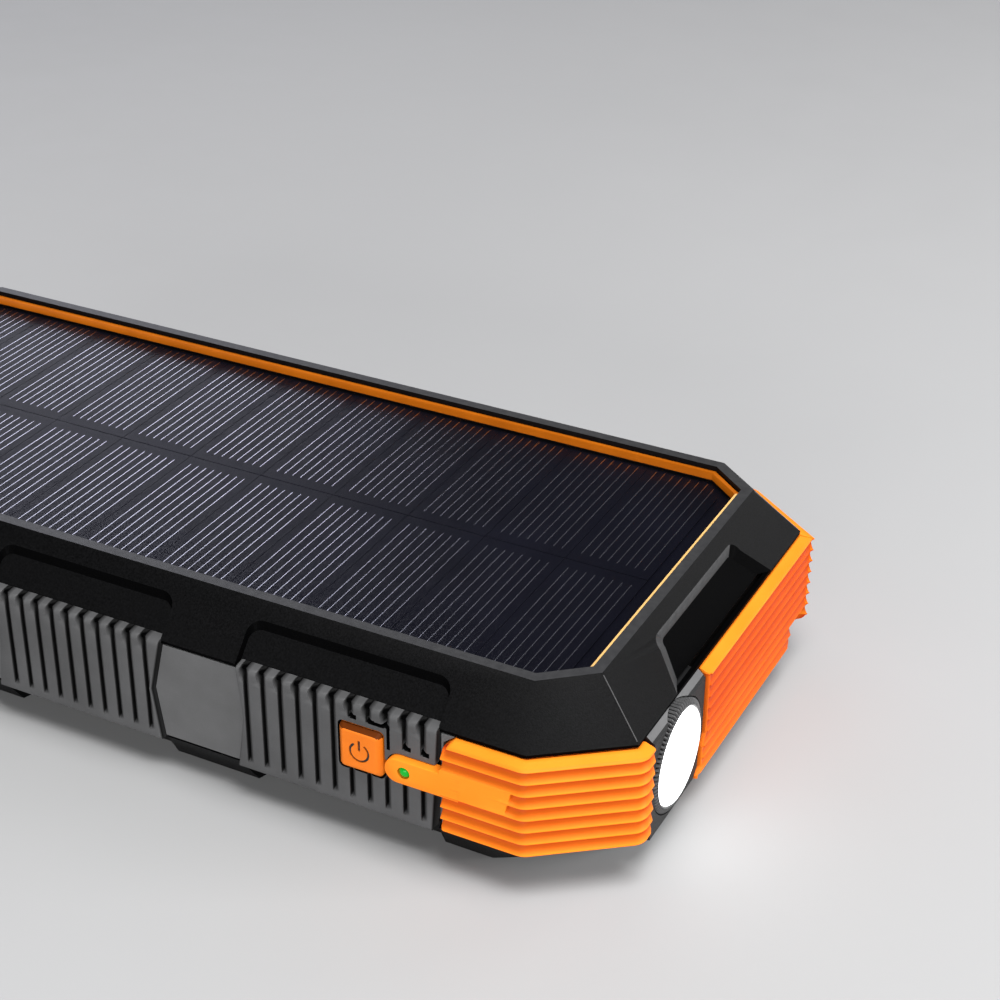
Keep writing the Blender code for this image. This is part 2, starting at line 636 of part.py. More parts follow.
def make_flashlight():
    centre = (TORCH_Y, TORCH_Z)
    face = [(-30.2, 5.2), (-13.7, 5.2), (-12.2, 6.6), (-12.2, 10.7), (-11.0, 12.3), (-11.0, 23.7)]
    face.append((-30.2, 23.7))
    housing = add_part("flashlight_housing", prism(face, "X", 88.5, TORCH_FACE_X), "frame_black")
    combine(housing, [cylinder("X", centre, 8.9, 78.6, 89.0, 32)], "UNION")
    bore = cylinder("X", centre, 7.9, 70.0, 96.0, 32)
    bezel_seat = cylinder("X", centre, 9.15, 89.8, 96.0, 40)
    combine(housing, [bore, bezel_seat], "DIFFERENCE")
    bezel = [(8.85, 90.1), (8.85, 93.0), (8.6, 93.3), (8.1, 93.3), (7.95, 93.0), (7.95, 90.1)]
    add_part("flashlight_bezel", lathe(bezel, "X", centre, 40, hollow=True), "rubber_black", smooth=True)
    lens = [(0.8, 91.2), (7.7, 91.2), (7.7, 93.2), (7.3, 93.5), (4.2, 93.75), (0.8, 93.8)]
    add_part("flashlight_lens", lathe(lens, "X", centre, 40), "lens_white", smooth=True)
    cup = [(7.2, 90.8), (7.5, 90.8), (7.5, 89.9), (6.0, 85.4), (3.0, 81.3)]
    cup += [(2.4, 81.3), (4.8, 85.0), (6.4, 89.0)]
    reflector = lathe(cup, "X", centre, 32, hollow=True)
    add_part("flashlight_reflector", reflector, "reflector_chrome", smooth=True)
    add_part("flashlight_board", cylinder("X", centre, 7.5, 79.2, 80.6, 32), "board_green", smooth=True)
    emitter = block((80.7, TORCH_Y - 1.6, TORCH_Z - 1.6), (82.2, TORCH_Y + 1.6, TORCH_Z + 1.6))
    add_part("flashlight_emitter", emitter, "emitter_yellow")


# Electronics and batteries


def make_ports():
    """Two full-size USB sockets and one small one: a folded steel shell with a plastic tongue inside."""
    for index, y in enumerate(USB_A_YS):
        outer = rounded_box((y, PORT_Z), (13.1, 5.7), 0.6, 2)
        inner = rounded_box((y, PORT_Z), (12.5, 5.1), 0.4, 2)
        make_socket(f"usb_a_shell_{index + 1}", outer, inner, 76.0)
        tongue = block((77.2, y - 5.3, PORT_Z + 0.3), (87.6, y + 5.3, PORT_Z + 2.1))
        add_part(f"usb_a_tongue_{index + 1}", tongue, "connector_black")
    outer = rounded_box((USB_C_Y, PORT_Z), (8.9, 3.2), 1.55, 4)
    inner = rounded_box((USB_C_Y, PORT_Z), (8.3, 2.6), 1.25, 4)
    make_socket("usb_c_shell", outer, inner, 81.5)
    tongue = block((82.7, USB_C_Y - 3.3, PORT_Z - 0.35), (88.0, USB_C_Y + 3.3, PORT_Z + 0.35))
    add_part("usb_c_tongue", tongue, "connector_black")


def make_socket(name, outer, inner, back):
    """A tube that is open at its mouth, closed at its back, and stands on the board on two tabs."""
    shell = add_part(name, prism(outer, "X", back, 89.7), "steel")
    bottom = min(z for y, z in outer)
    middle = sum(y for y, z in outer) / len(outer)
    tabs = []
    for y in (middle - 3.0, middle + 3.0):
        tabs.append(block((back + 2.0, y - 0.5, BOARD_TOP_Z + 0.1), (back + 4.0, y + 0.5, bottom + 0.25)))
    if bottom - BOARD_TOP_Z > 0.6:
        combine(shell, tabs, "UNION")
    combine(shell, [prism(inner, "X", back + 0.6, 95.0)], "DIFFERENCE")


def make_board():
    outline = [(42.0, -38.0), (68.0, -38.0), (68.0, -10.0), (87.6, -10.0), (87.6, 28.2), (71.6, 28.2)]
    outline += [(71.6, 37.0), (42.0, 37.0)]
    add_part("main_board", prism(outline, "Z", BOARD_TOP_Z - 1.6, BOARD_TOP_Z), "board_green")
    chip = block((54.0, 6.0, BOARD_TOP_Z + 0.1), (61.0, 13.0, BOARD_TOP_Z + 1.1))
    add_part("charge_controller", chip, "connector_black")
    coil = prism(rounded_box((56.0, -9.0), (10.0, 10.0), 1.6, 3), "Z", BOARD_TOP_Z + 0.1, BOARD_TOP_Z + 5.1)
    add_part("power_inductor", coil, "inductor_grey")


def make_batteries():
    """Two flat pouch cells, one above the other, with foam between and above."""
    levels = (("battery_cell_lower", 4.9, 13.9), ("battery_cell_upper", 15.5, 24.5))
    for name, low, high in levels:
        rings = []
        for z, inset in ((low, 0.8), (low + 0.8, 0.0), (high - 0.8, 0.0), (high, 0.8)):
            outline = rounded_box((-16.5, 0.0), (108.0 - 2 * inset, 66.0 - 2 * inset), 2.5 - inset, 2)
            rings.append(lifted(outline, "Z", z))
        add_part(name, loft(rings), "battery_foil")
    foams = (("battery_foam_middle", 14.2, 15.2), ("battery_foam_top", 24.8, 27.9))
    for name, low, high in foams:
        add_part(name, prism(rounded_box((-16.5, 0.0), (96.0, 46.0), 2.0, 2), "Z", low, high), "foam_black")


def smooth_route(points, count):
    """Points spread along a Catmull-Rom curve through the given ones."""
    ends = [points[0]] + points + [points[-1]]
    nodes = [Vector(p) for p in ends]
    route = []
    spans = len(points) - 1
    for i in range(count + 1):
        place = min(i / count * spans, spans - 1e-6)
        start = int(place)
        t = place - start
        before, low, high, after = nodes[start : start + 4]
        linear = (high - before) * t
        square = (before * 2 - low * 5 + high * 4 - after) * t * t
        cube = (low * 3 - before - high * 3 + after) * t * t * t
        route.append((low * 2 + linear + square + cube) / 2)
    return route


def make_wire(name, points, finish):
    curve = bpy.data.curves.new(name, "CURVE")
    curve.dimensions = "3D"
    curve.bevel_depth = 0.75 * MM
    curve.bevel_resolution = 2
    curve.use_fill_caps = True
    spline = curve.splines.new("POLY")
    route = smooth_route(points, 10)
    spline.points.add(len(route) - 1)
    for target, place in zip(spline.points, route):
        target.co = (*(place * MM), 1.0)
    wire = bpy.data.objects.new(name, curve)
    curve.materials.append(material(finish))
    bpy.context.scene.collection.objects.link(wire)


def make_wires():
    """Leads from the solar panel and from the batteries, soldered to the main board."""
    solder_z = BOARD_TOP_Z + 0.4
    for name, y, finish in (("positive", 21.0, "wire_red"), ("negative", 25.0, "wire_black")):
        down = [(46.0, y, 27.9), (46.0, y, 25.5), (47.5, y, 21.0), (49.5, y, 16.5), (50.0, y, solder_z)]
        make_wire(f"solar_lead_{name}", down, finish)
    for name, y, finish in (("positive", -21.0, "wire_red"), ("negative", -25.0, "wire_black")):
        across = [(38.6, y, 14.7), (41.0, y, 15.0), (44.0, y, 16.0), (47.0, y, 15.0), (48.4, y, solder_z)]
        make_wire(f"battery_lead_{name}", across, finish)


def main():
    clear_scene()
    make_top_frame()
    make_mid_housing()
    make_case_seal()
    make_rear_cover()
    make_feet()
    make_screws()
    make_panel()
    make_grips()
    make_bumpers()
    make_port_cover()
    make_button()
    make_status_light()
    make_flashlight()
    make_ports()
    make_board()
    make_batteries()
    make_wires()


main()
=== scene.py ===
"""The looks of a rugged solar power bank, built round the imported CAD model.

Lengths are in millimetres, as in the part's own script, and become metres when a mesh is made.
+X points to the flashlight end, -Y to the side with the button, and +Z up out of the solar panel.
"""

import json
import math
from collections import namedtuple

import bmesh
import bpy
from mathutils import Matrix, Vector

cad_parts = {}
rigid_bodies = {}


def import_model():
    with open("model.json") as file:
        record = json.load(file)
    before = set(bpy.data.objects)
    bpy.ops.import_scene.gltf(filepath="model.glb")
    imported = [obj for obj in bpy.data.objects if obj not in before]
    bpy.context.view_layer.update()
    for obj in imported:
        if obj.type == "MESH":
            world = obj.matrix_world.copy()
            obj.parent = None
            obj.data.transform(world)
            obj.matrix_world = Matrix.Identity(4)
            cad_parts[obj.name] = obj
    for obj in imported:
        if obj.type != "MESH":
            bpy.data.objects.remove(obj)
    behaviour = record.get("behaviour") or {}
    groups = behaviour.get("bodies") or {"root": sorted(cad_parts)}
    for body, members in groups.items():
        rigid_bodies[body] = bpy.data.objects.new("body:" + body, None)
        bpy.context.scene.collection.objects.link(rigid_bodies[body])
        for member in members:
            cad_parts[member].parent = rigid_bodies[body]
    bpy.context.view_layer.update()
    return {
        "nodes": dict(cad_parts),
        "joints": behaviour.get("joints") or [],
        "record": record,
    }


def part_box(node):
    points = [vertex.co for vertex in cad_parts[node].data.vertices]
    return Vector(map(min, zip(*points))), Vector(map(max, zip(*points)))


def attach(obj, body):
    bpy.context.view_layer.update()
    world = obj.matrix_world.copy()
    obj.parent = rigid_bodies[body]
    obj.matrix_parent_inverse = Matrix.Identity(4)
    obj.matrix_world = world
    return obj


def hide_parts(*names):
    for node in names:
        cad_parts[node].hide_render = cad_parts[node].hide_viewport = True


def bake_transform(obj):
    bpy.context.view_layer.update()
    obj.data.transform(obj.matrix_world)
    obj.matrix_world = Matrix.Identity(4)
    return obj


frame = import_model()

MM = 0.001
GAP = 0.3


def node_box(node):
    """A CAD node's lowest and highest corners, in millimetres."""
    low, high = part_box(node)
    return low / MM, high / MM


def node_middle(node):
    return [(low + high) / 2 for low, high in zip(*node_box(node))]


# Octagonal outlines: half length, half width, and the corner cut along X and along Y.
SIDES = 8
Plan = namedtuple("Plan", "length width cut_x cut_y")
FRAME_HIGH = node_box("top_frame")[1]
WALL_LOW, WALL_HIGH = node_box("mid_housing")
REAR_LOW, REAR_HIGH = node_box("rear_cover")
BODY = Plan(FRAME_HIGH.x, FRAME_HIGH.y, 13.0, 9.8)
RIM = Plan(BODY.length - 7.6, BODY.width - 7.07, 7.6, 6.3)
REAR_RIM = Plan(BODY.length - 3.7, BODY.width - 3.7, 16.2, 12.2)

# Levels above the surface that the charger stands on.
TOP_Z = FRAME_HIGH.z
SLOPE_Z = 24.3
WALL_TOP_Z, WALL_BOTTOM_Z = WALL_HIGH.z, WALL_LOW.z
REAR_TOP_Z, REAR_BOTTOM_Z = REAR_HIGH.z, REAR_LOW.z
REAR_FLOOR_Z = 2.8
# The dark strip under the frame's edge, and the band at the top of the side wall, both painted shade.
LIP_Z, LIP_TOP_Z = 23.72, 24.26
SHADE_BAND_Z = 22.6
LEDGE_Z, FLANGE_Z = 28.0, 26.6
# Where the grips are narrowest, and the raised patches between them widest.
WAIST_Z = 15.2
FILM_TOP_Z = node_box("panel_cover_film")[1].z
CELL_TOP_Z = node_box("cell_string_near")[1].z

POCKET, WALL = 1.7, 1.7
# Ranges along X and Y that pass right through the end wall and the near side wall.
THROUGH_END, THROUGH_SIDE = (84.0, 96.0), (-50.0, -30.0)
FRAME_WALL, RIM_WIDTH = 3.2, 1.8
RECESS, RECESS_STEP = 0.9, 1.3

# Solar cells: groups of printed fingers, eleven along each of two rows.
GROUPS = 11
GROUP_PITCH = 14.22
FINGERS = 8
FINGER_PITCH, FINGER_WIDTH = 1.547, 0.14
ROW_GAP = 4.1

# Ribs on the grips, and crests on the bumpers and the port cover.
GRIP_PROUD = 0.9
FIRST_CREST_Z = 22.9
CREST_PITCH = 2.127
BUMPER_CRESTS, COVER_CRESTS = 8, 9
LEDGE_INNER_Z = 23.6
COVER_ROOT, COVER_SET_BACK = 1.75, 0.87

# Button, status light and flashlight.
BUTTON_X, _, BUTTON_Z = node_middle("power_button")
BUTTON_SIZE, BUTTON_HOLE = (7.3, 7.9), (7.9, 8.5)
LIGHT_X, _, LIGHT_Z = node_middle("status_light_pipe")
TONGUE_HEIGHT = 4.2
_, TORCH_Y, TORCH_Z = node_middle("flashlight_lens")
TORCH_FACE_X = node_box("flashlight_housing")[1].x
# The opening for the flashlight in the end of the case, as an (x, y) outline.
TORCH_BAY = [(84.0, -30.6), (96.0, -30.6), (96.0, -10.7), (84.0, -10.7)]

# Sockets behind the hinged cover, and what stands on the base.
HINGE = Vector(next(j for j in frame["joints"] if j["name"] == "cover_hinge")["pos_m"]) / MM
USB_A_YS = (22.5, 7.75)
USB_C_Y = -4.4
PORT_Z = HINGE.z
SCREWS = [Vector(node_middle(f"case_screw_{i}")) for i in range(1, 9)]
FEET = [Vector(node_middle(f"foot_{i}")) for i in range(1, 5)]


# Materials

# What most of a noise texture's values lie between.
NOISE_RANGE = (0.3, 0.7)
SOCKETS = {"gloss": "Specular IOR Level", "metal": "Metallic", "alpha": "Alpha"}
SOCKETS |= {"glow": "Emission Color", "power": "Emission Strength"}


def connect(tree, node, inputs):
    """Gives each of a node's named inputs a plain value, or a link from another node's output."""
    for name, value in inputs.items():
        if isinstance(value, bpy.types.NodeSocket):
            tree.links.new(value, node.inputs[name])
        else:
            node.inputs[name].default_value = value


def add_node(tree, kind, inputs):
    made = tree.nodes.new("ShaderNode" + kind)
    connect(tree, made, inputs)
    return made.outputs


def noise(tree, scale, detail, stretch):
    """Noise in the object's own space; a stretch turns it into streaks."""
    place = add_node(tree, "TexCoord", {})["Object"]
    if stretch:
        place = add_node(tree, "Mapping", {"Scale": stretch, "Vector": place})["Vector"]
    return add_node(tree, "TexNoise", {"Scale": scale, "Detail": detail, "Vector": place})["Fac"]


def graded(tree, factor, dark, light, stops):
    """A colour between dark and light, as the factor goes from the first stop to the second."""
    ramp = tree.nodes.new("ShaderNodeValToRGB")
    for element, stop, colour in zip(ramp.color_ramp.elements, stops, (dark, light)):
        element.position = stop
        element.color = (*colour, 1.0)
    connect(tree, ramp, {"Fac": factor})
    return ramp.outputs["Color"]


def new_material(name):
    made = bpy.data.materials.new(name)
    made.use_nodes = True
    return made, made.node_tree


def finish_shader(tree, tone, roughness, relief, strength, height, fixed):
    """Sets the shader's inputs, with the relief raised by a height in millimetres."""
    bump = add_node(tree, "Bump", {"Strength": strength, "Distance": height * MM, "Height": relief})
    inputs = {"Base Color": tone, "Roughness": roughness, "Normal": bump["Normal"]}
    inputs |= {SOCKETS[key]: value for key, value in fixed.items()}
    connect(tree, tree.nodes["Principled BSDF"], inputs)


def moulded(
    name, dark, light, roughness, height, broad=120.0, grain=5200.0, stretch=None, hollow=None, **fixed
):
    """A surface whose tone and roughness drift with broad noise, under a fine raised grain.
    Where a mesh's "shade" value is above 0, the tone goes over to the painted shade colour."""
    made, tree = new_material(name)
    tone = graded(tree, noise(tree, broad, 6.0, stretch), dark, light, NOISE_RANGE)
    # painted shade: the tone is mixed towards a dark colour by the mesh's shade values
    if hollow:
        shade = tree.nodes.new("ShaderNodeAttribute")
        shade.attribute_name = "shade"
        mix = {"Fac": shade.outputs["Fac"], "Color1": tone, "Color2": (*hollow, 1.0)}
        tone = add_node(tree, "MixRGB", mix)["Color"]
    fine = noise(tree, grain, 3.0, stretch)
    limits = dict(zip(("From Min", "From Max", "To Min", "To Max"), (*NOISE_RANGE, *roughness)))
    rough = add_node(tree, "MapRange", {"Value": fine} | limits)["Result"]
    finish_shader(tree, tone, rough, fine, 0.6, height, fixed)
    return made


def cellular(name, dark, light, roughness, scale, height, **fixed):
    """A surface of small cells, as in foam, or flakes, as in phosphor."""
    made, tree = new_material(name)
    place = add_node(tree, "TexCoord", {})["Object"]
    cells = add_node(tree, "TexVoronoi", {"Scale": scale, "Vector": place})["Distance"]
    tone = graded(tree, cells, dark, light, (0.0, 1.0))
    finish_shader(tree, tone, roughness, cells, 0.8, height, fixed)
    return made


# The finishes: one for each of the record's slots, a few for printed details, and darker and lighter copies
# that carry painted shade and painted light. Each has a dark and a light tone, the range of its roughness,
# the height of its grain and what else differs from plain plastic.
MOULDED = {
    "frame_black": (
        (0.0008, 0.0008, 0.0009), (0.004, 0.004, 0.0043), (0.38, 0.5), 0.03, dict(broad=3500.0, gloss=0.08),
    ),
    # painted shade: a darker copy of the frame plastic, for recess steps and floors and the strip under the
    # frame's edge
    "frame_painted_shade": (
        (0.0003, 0.0003, 0.0004), (0.0008, 0.0008, 0.0009), (0.5, 0.6), 0.02,
        dict(broad=3500.0, gloss=0.02),
    ),
    # painted light: a lighter copy of the frame plastic, for the rim's top and the end recesses' steps
    "frame_painted_light": (
        (0.023, 0.023, 0.024), (0.033, 0.033, 0.034), (0.38, 0.5), 0.02, dict(broad=900.0, gloss=0.25),
    ),
    "grip_grey": (
        (0.058, 0.058, 0.059), (0.078, 0.078, 0.08), (0.58, 0.74), 0.035,
        dict(hollow=(0.0012, 0.0012, 0.0012), gloss=0.2),
    ),
    "wall_grey": ((0.078, 0.078, 0.079), (0.1, 0.1, 0.102), (0.58, 0.74), 0.035, dict(gloss=0.2)),
    # painted shade: black for shaded gaps, the walls of cut holes and the valleys of the bezel's teeth
    "painted_shade_black": ((0.001, 0.001, 0.001), (0.002, 0.002, 0.002), (0.7, 0.8), 0.02, dict(gloss=0.05)),
    "silicone_orange": (
        (0.87, 0.215, 0.01), (0.93, 0.248, 0.015), (0.44, 0.56), 0.012,
        dict(hollow=(0.4, 0.014, 0.0002), gloss=0.1),
    ),
    "key_orange": ((0.66, 0.15, 0.006), (0.76, 0.18, 0.009), (0.44, 0.56), 0.012, dict(gloss=0.2)),
    # painted shade: dark orange for the button's upper bevel
    "key_painted_shade": ((0.085, 0.017, 0.001), (0.125, 0.026, 0.0015), (0.44, 0.56), 0.012, dict(gloss=0.08)),
    "trim_orange": ((0.34, 0.08, 0.001), (0.42, 0.104, 0.002), (0.46, 0.58), 0.008, dict(gloss=0.12)),
    # painted highlight for the rounded top of the trim's right-hand end
    "trim_painted_highlight": ((0.8, 0.46, 0.14), (0.9, 0.54, 0.18), (0.4, 0.52), 0.008, dict()),
    "cell_silicon": (
        (0.002, 0.002, 0.0045), (0.003, 0.0031, 0.0072), (0.27, 0.33), 0.0005, dict(broad=60.0, gloss=0.06),
    ),
    "clear_film": (
        (0.02, 0.021, 0.025), (0.028, 0.029, 0.034), (0.3, 0.4), 0.0003, dict(alpha=0.03, gloss=0.2),
    ),
    "board_green": ((0.008, 0.075, 0.028), (0.016, 0.125, 0.046), (0.28, 0.42), 0.02, dict(broad=700.0)),
    "steel": (
        (0.5, 0.5, 0.52), (0.64, 0.64, 0.65), (0.22, 0.38), 0.006,
        dict(grain=2500.0, stretch=(0.06, 1.0, 1.0), metal=1.0),
    ),
    "connector_black": ((0.012, 0.012, 0.012), (0.022, 0.022, 0.023), (0.38, 0.52), 0.015, dict()),
    "lens_white": (
        (0.9, 0.9, 0.91), (0.96, 0.96, 0.97), (0.1, 0.18), 0.003,
        dict(glow=(1.0, 1.0, 1.0, 1.0), power=2.2),
    ),
    "reflector_chrome": ((0.8, 0.8, 0.82), (0.9, 0.9, 0.91), (0.04, 0.12), 0.004, dict(metal=1.0)),
    "light_green": (
        (0.002, 0.12, 0.008), (0.004, 0.2, 0.014), (0.16, 0.24), 0.003,
        dict(gloss=0.25, glow=(0.0, 0.7, 0.04, 1.0), power=0.3),
    ),
    "battery_foil": (
        (0.5, 0.51, 0.53), (0.66, 0.67, 0.69), (0.28, 0.45), 0.05,
        dict(broad=300.0, grain=900.0, metal=0.8),
    ),
    "rubber_black": ((0.014, 0.014, 0.014), (0.026, 0.026, 0.026), (0.66, 0.84), 0.03, dict(gloss=0.35)),
    "wire_red": ((0.42, 0.015, 0.01), (0.58, 0.026, 0.018), (0.32, 0.45), 0.01, dict()),
    "wire_black": ((0.012, 0.012, 0.012), (0.024, 0.024, 0.024), (0.32, 0.45), 0.01, dict()),
    "printed_silver": (
        (0.44, 0.44, 0.49), (0.54, 0.54, 0.6), (0.21, 0.27), 0.0005, dict(grain=4000.0, metal=1.0),
    ),
    "contact_gold": ((0.72, 0.46, 0.16), (0.86, 0.6, 0.24), (0.18, 0.3), 0.003, dict(metal=1.0)),
    "torch_grey": ((0.01, 0.01, 0.0104), (0.016, 0.016, 0.0164), (0.48, 0.6), 0.03, dict(gloss=0.2)),
    "torch_band": ((0.085, 0.085, 0.087), (0.11, 0.11, 0.112), (0.5, 0.62), 0.03, dict(gloss=0.3)),
    "bezel_grey": ((0.038, 0.038, 0.039), (0.05, 0.05, 0.051), (0.5, 0.62), 0.02, dict()),
    "ink_black": ((0.008, 0.007, 0.006), (0.018, 0.014, 0.012), (0.5, 0.65), 0.006, dict()),
}
MOULDED["board_black"] = MOULDED["cell_silicon"]

# Dark and light tone, roughness, scale and height of the cells, and the rest.
CELLULAR = {
    "emitter_yellow": (
        (0.85, 0.62, 0.06), (0.98, 0.8, 0.16), 0.4, 4200.0, 0.03,
        dict(glow=(1.0, 0.9, 0.6, 1.0), power=2.0),
    ),
    "foam_black": ((0.012, 0.012, 0.012), (0.045, 0.045, 0.046), 0.95, 1400.0, 0.25, dict()),
    "inductor_grey": ((0.07, 0.07, 0.075), (0.14, 0.14, 0.15), 0.6, 3000.0, 0.04, dict()),
}
MATERIALS = {name: moulded(name, *values, **rest) for name, (*values, rest) in MOULDED.items()}
MATERIALS |= {name: cellular(name, *values, **rest) for name, (*values, rest) in CELLULAR.items()}


# Turning meshes into pieces


def to_data(name, mesh, materials):
    """Turns a bmesh in millimetres into mesh data in metres."""
    for vertex in mesh.verts:
        vertex.co *= MM
    data = bpy.data.meshes.new(name)
    mesh.to_mesh(data)
    mesh.free()
    for material in materials:
        data.materials.append(material)
    return data


def in_scene(name, data):
    made = bpy.data.objects.new(name, data)
    bpy.context.scene.collection.objects.link(made)
    return made


def add_piece(name, mesh, slot, stands_for=(), body="case", finish=None, smooth=35.0, others=()):
    """Makes a piece from a bmesh in millimetres, in a record slot's material unless a finish is named.
    The others are finishes that its faces use by number."""
    bmesh.ops.recalc_face_normals(mesh, faces=mesh.faces)
    data = to_data(name, mesh, [MATERIALS[each] for each in (finish or slot, *others)])
    piece = in_scene(name, data)
    data.shade_smooth()
    data.set_sharp_from_angle(angle=math.radians(smooth))
    if body:
        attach(piece, body)
    if stands_for:
        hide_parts(*stands_for)
    return piece


def settle(piece):
    """Makes the piece's modifiers part of its mesh."""
    graph = bpy.context.evaluated_depsgraph_get()
    solid = bpy.data.meshes.new_from_object(piece.evaluated_get(graph))
    piece.modifiers.clear()
    piece.data = solid


def combine(piece, helpers, operation, smooth=35.0):
    """Cuts the helper meshes from the piece, or joins them to it."""
    group = bpy.data.collections.new("helpers")
    bpy.context.scene.collection.children.link(group)
    for mesh in helpers:
        bmesh.ops.recalc_face_normals(mesh, faces=mesh.faces)
        data = to_data("helper", mesh, piece.data.materials)
        group.objects.link(bpy.data.objects.new("helper", data))
    boolean = piece.modifiers.new("Boolean", "BOOLEAN")
    boolean.operation = operation
    boolean.operand_type = "COLLECTION"
    boolean.collection = group
    boolean.solver = "EXACT"
    settle(piece)
    piece.data.set_sharp_from_angle(angle=math.radians(smooth))
    for helper in list(group.objects):
        bpy.data.objects.remove(helper)
    bpy.data.collections.remove(group)


def add_bevel(piece, width):
    bevel = piece.modifiers.new("Bevel", "BEVEL")
    bevel.width = width * MM
    bevel.segments = 2
    bevel.limit_method = "ANGLE"
    return bevel


def soften(piece, width):
    """Rounds the piece's sharp edges."""
    bevel = add_bevel(piece, width)
    bevel.angle_limit = math.radians(28)
    bevel.harden_normals = True
    settle(piece)


# Outlines and basic solids


def grown(plan, distance):
    """The octagon whose eight sides all lie this far outside the given one's."""
    normal = Vector((plan.cut_y, plan.cut_x)).normalized()
    reach = Vector((plan.length - plan.cut_x, plan.width)).dot(normal) + distance
    length, width = plan.length + distance, plan.width + distance
    cut_x = length - (reach - width * normal.y) / normal.x
    cut_y = width - (reach - length * normal.x) / normal.y
    return Plan(length, width, cut_x, cut_y)


def slope_plan(z):
    """The top frame's outer outline at a level on its slope."""
    share = (z - SLOPE_Z) / (TOP_Z - SLOPE_Z)
    return Plan(*(low + (high - low) * share for low, high in zip(BODY, RIM)))


def corners(plan):
    """The octagon's corners, anticlockwise, from the near corner of the right-hand end."""
    long_x, short_y = plan.length - plan.cut_x, plan.width - plan.cut_y
    half = [(plan.length, -short_y), (plan.length, short_y), (long_x, plan.width)]
    half.append((-long_x, plan.width))
    return half + [(-x, -y) for x, y in half]


def loft(rings, closed=False):
    """Joins rings of equally many points. A closed loft ends where it starts, else both ends are capped."""
    mesh = bmesh.new()
    loops = [[mesh.verts.new(point) for point in points] for points in rings]
    following = loops[1:] + loops[:1] if closed else loops[1:]
    for lower, upper in zip(loops, following):
        for i in range(len(lower)):
            mesh.faces.new((lower[i - 1], lower[i], upper[i], upper[i - 1]))
    if not closed:
        mesh.faces.new(loops[0])
        mesh.faces.new(loops[-1])
    mesh.faces.ensure_lookup_table()
    return mesh


def octagonal(section, closed=False):
    """A solid through octagons, each a plan and its level."""
    return loft([[(x, y, z) for x, y in corners(plan)] for plan, z in section], closed)


def paint(faces, finish):
    """Gives faces one of a piece's other finishes, by number."""
    for face in faces:
        face.material_index = finish


def shell(front, back):
    """A closed slab between two grids of points that match row by row and column by column.
    A point's fourth value, if it has one, is its painted shade."""
    mesh = bmesh.new()
    shade = mesh.verts.layers.float.new("shade")

    def vertex(point):
        made = mesh.verts.new(point[:3])
        made[shade] = point[3] if len(point) > 3 else 0.0
        return made

    sheets = [[[vertex(point) for point in row] for row in grid] for grid in (front, back)]
    last_row, last_column = len(front) - 1, len(front[0]) - 1
    for sheet in sheets:
        for lower, upper in zip(sheet, sheet[1:]):
            for c in range(last_column):
                mesh.faces.new((lower[c], lower[c + 1], upper[c + 1], upper[c]))
    rim = [(0, c) for c in range(last_column)] + [(r, last_column) for r in range(last_row)]
    rim += [(last_row, c) for c in range(last_column, 0, -1)] + [(r, 0) for r in range(last_row, 0, -1)]
    for (r, c), (next_r, next_c) in zip(rim, rim[1:] + rim[:1]):
        near, far = [(sheet[r][c], sheet[next_r][next_c]) for sheet in sheets]
        mesh.faces.new((near[0], near[1], far[1], far[0]))
    bmesh.ops.remove_doubles(mesh, verts=mesh.verts, dist=0.001)
    bmesh.ops.dissolve_degenerate(mesh, edges=mesh.edges, dist=0.001)
    return mesh


def lifted(points, axis, height):
    """Flat points at a height along an axis: (y, z) along X, (x, z) along Y, (x, y) along Z."""
    at = "XYZ".index(axis)
    return [(*point[:at], height, *point[at:]) for point in points]


def prism(outline, axis, low, high):
    return loft([lifted(outline, axis, low), lifted(outline, axis, high)])


def block(low, high):
    outline = [(low[0], low[1]), (high[0], low[1]), (high[0], high[1]), (low[0], high[1])]
    return prism(outline, "Z", low[2], high[2])


def spaced(middle, count, pitch):
    """Evenly spaced places with the given middle."""
    return [middle + (i - (count - 1) / 2) * pitch for i in range(count)]


def arc(centre, radius, start, sweep, steps):
    """Points along an arc, from its start to its end."""
    turns = [start + sweep * i / steps for i in range(steps + 1)]
    return [(centre[0] + radius * math.cos(t), centre[1] + radius * math.sin(t)) for t in turns]


def mirrored(points, end):
    """Flat (x, z) points on the +X or the -X half."""
    return [(end * x, z) for x, z in points]


def circle(centre, radius, steps):
    return arc(centre, radius, 0.0, 2 * math.pi, steps)[:-1]


def lathe(profile, axis, centre, steps):
    """Turns (radius, height) points round an axis."""
    return loft([lifted(circle(centre, radius, steps), axis, height) for radius, height in profile])


def cylinder(axis, centre, radius, low, high, steps):
    return lathe([(radius, low), (radius, high)], axis, centre, steps)


def rounded_box(centre, size, radius, steps=6):
    """A flat rectangle outline with rounded corners."""
    points = []
    for quarter, (sx, sy) in enumerate(((1, 1), (-1, 1), (-1, -1), (1, -1))):
        hub = (centre[0] + sx * (size[0] / 2 - radius), centre[1] + sy * (size[1] / 2 - radius))
        points += arc(hub, radius, math.pi / 2 * quarter, math.pi / 2, steps)
    return points


def pillow(axis, centre, size, radius, steps, corner_steps=6):
    """A solid of rounded boxes: each step is its place along the axis and how far its outline shrinks.
    The radius is a function of that shrinking."""
    rings = []
    for place, inset in steps:
        outline = rounded_box(centre, (size[0] - 2 * inset, size[1] - 2 * inset), radius(inset), corner_steps)
        rings.append(lifted(outline, axis, place))
    return loft(rings)


def joined(meshes):
    """One bmesh that holds all the given ones."""
    whole = bmesh.new()
    for mesh in meshes:
        data = bpy.data.meshes.new("joining")
        mesh.to_mesh(data)
        mesh.free()
        whole.from_mesh(data)
        bpy.data.meshes.remove(data)
    return whole


# Recesses in the sloping faces


def arch(bottom_half, top_half, low, high, radius):
    """An outline in slope coordinates: flat at the bottom, with its two top corners rounded."""
    points = [(-bottom_half, low), (bottom_half, low)]
    for start, sx in ((0.0, 1), (math.pi / 2, -1)):
        points += arc((sx * (top_half - radius), high - radius), radius, start, math.pi / 2, 8)
    return points


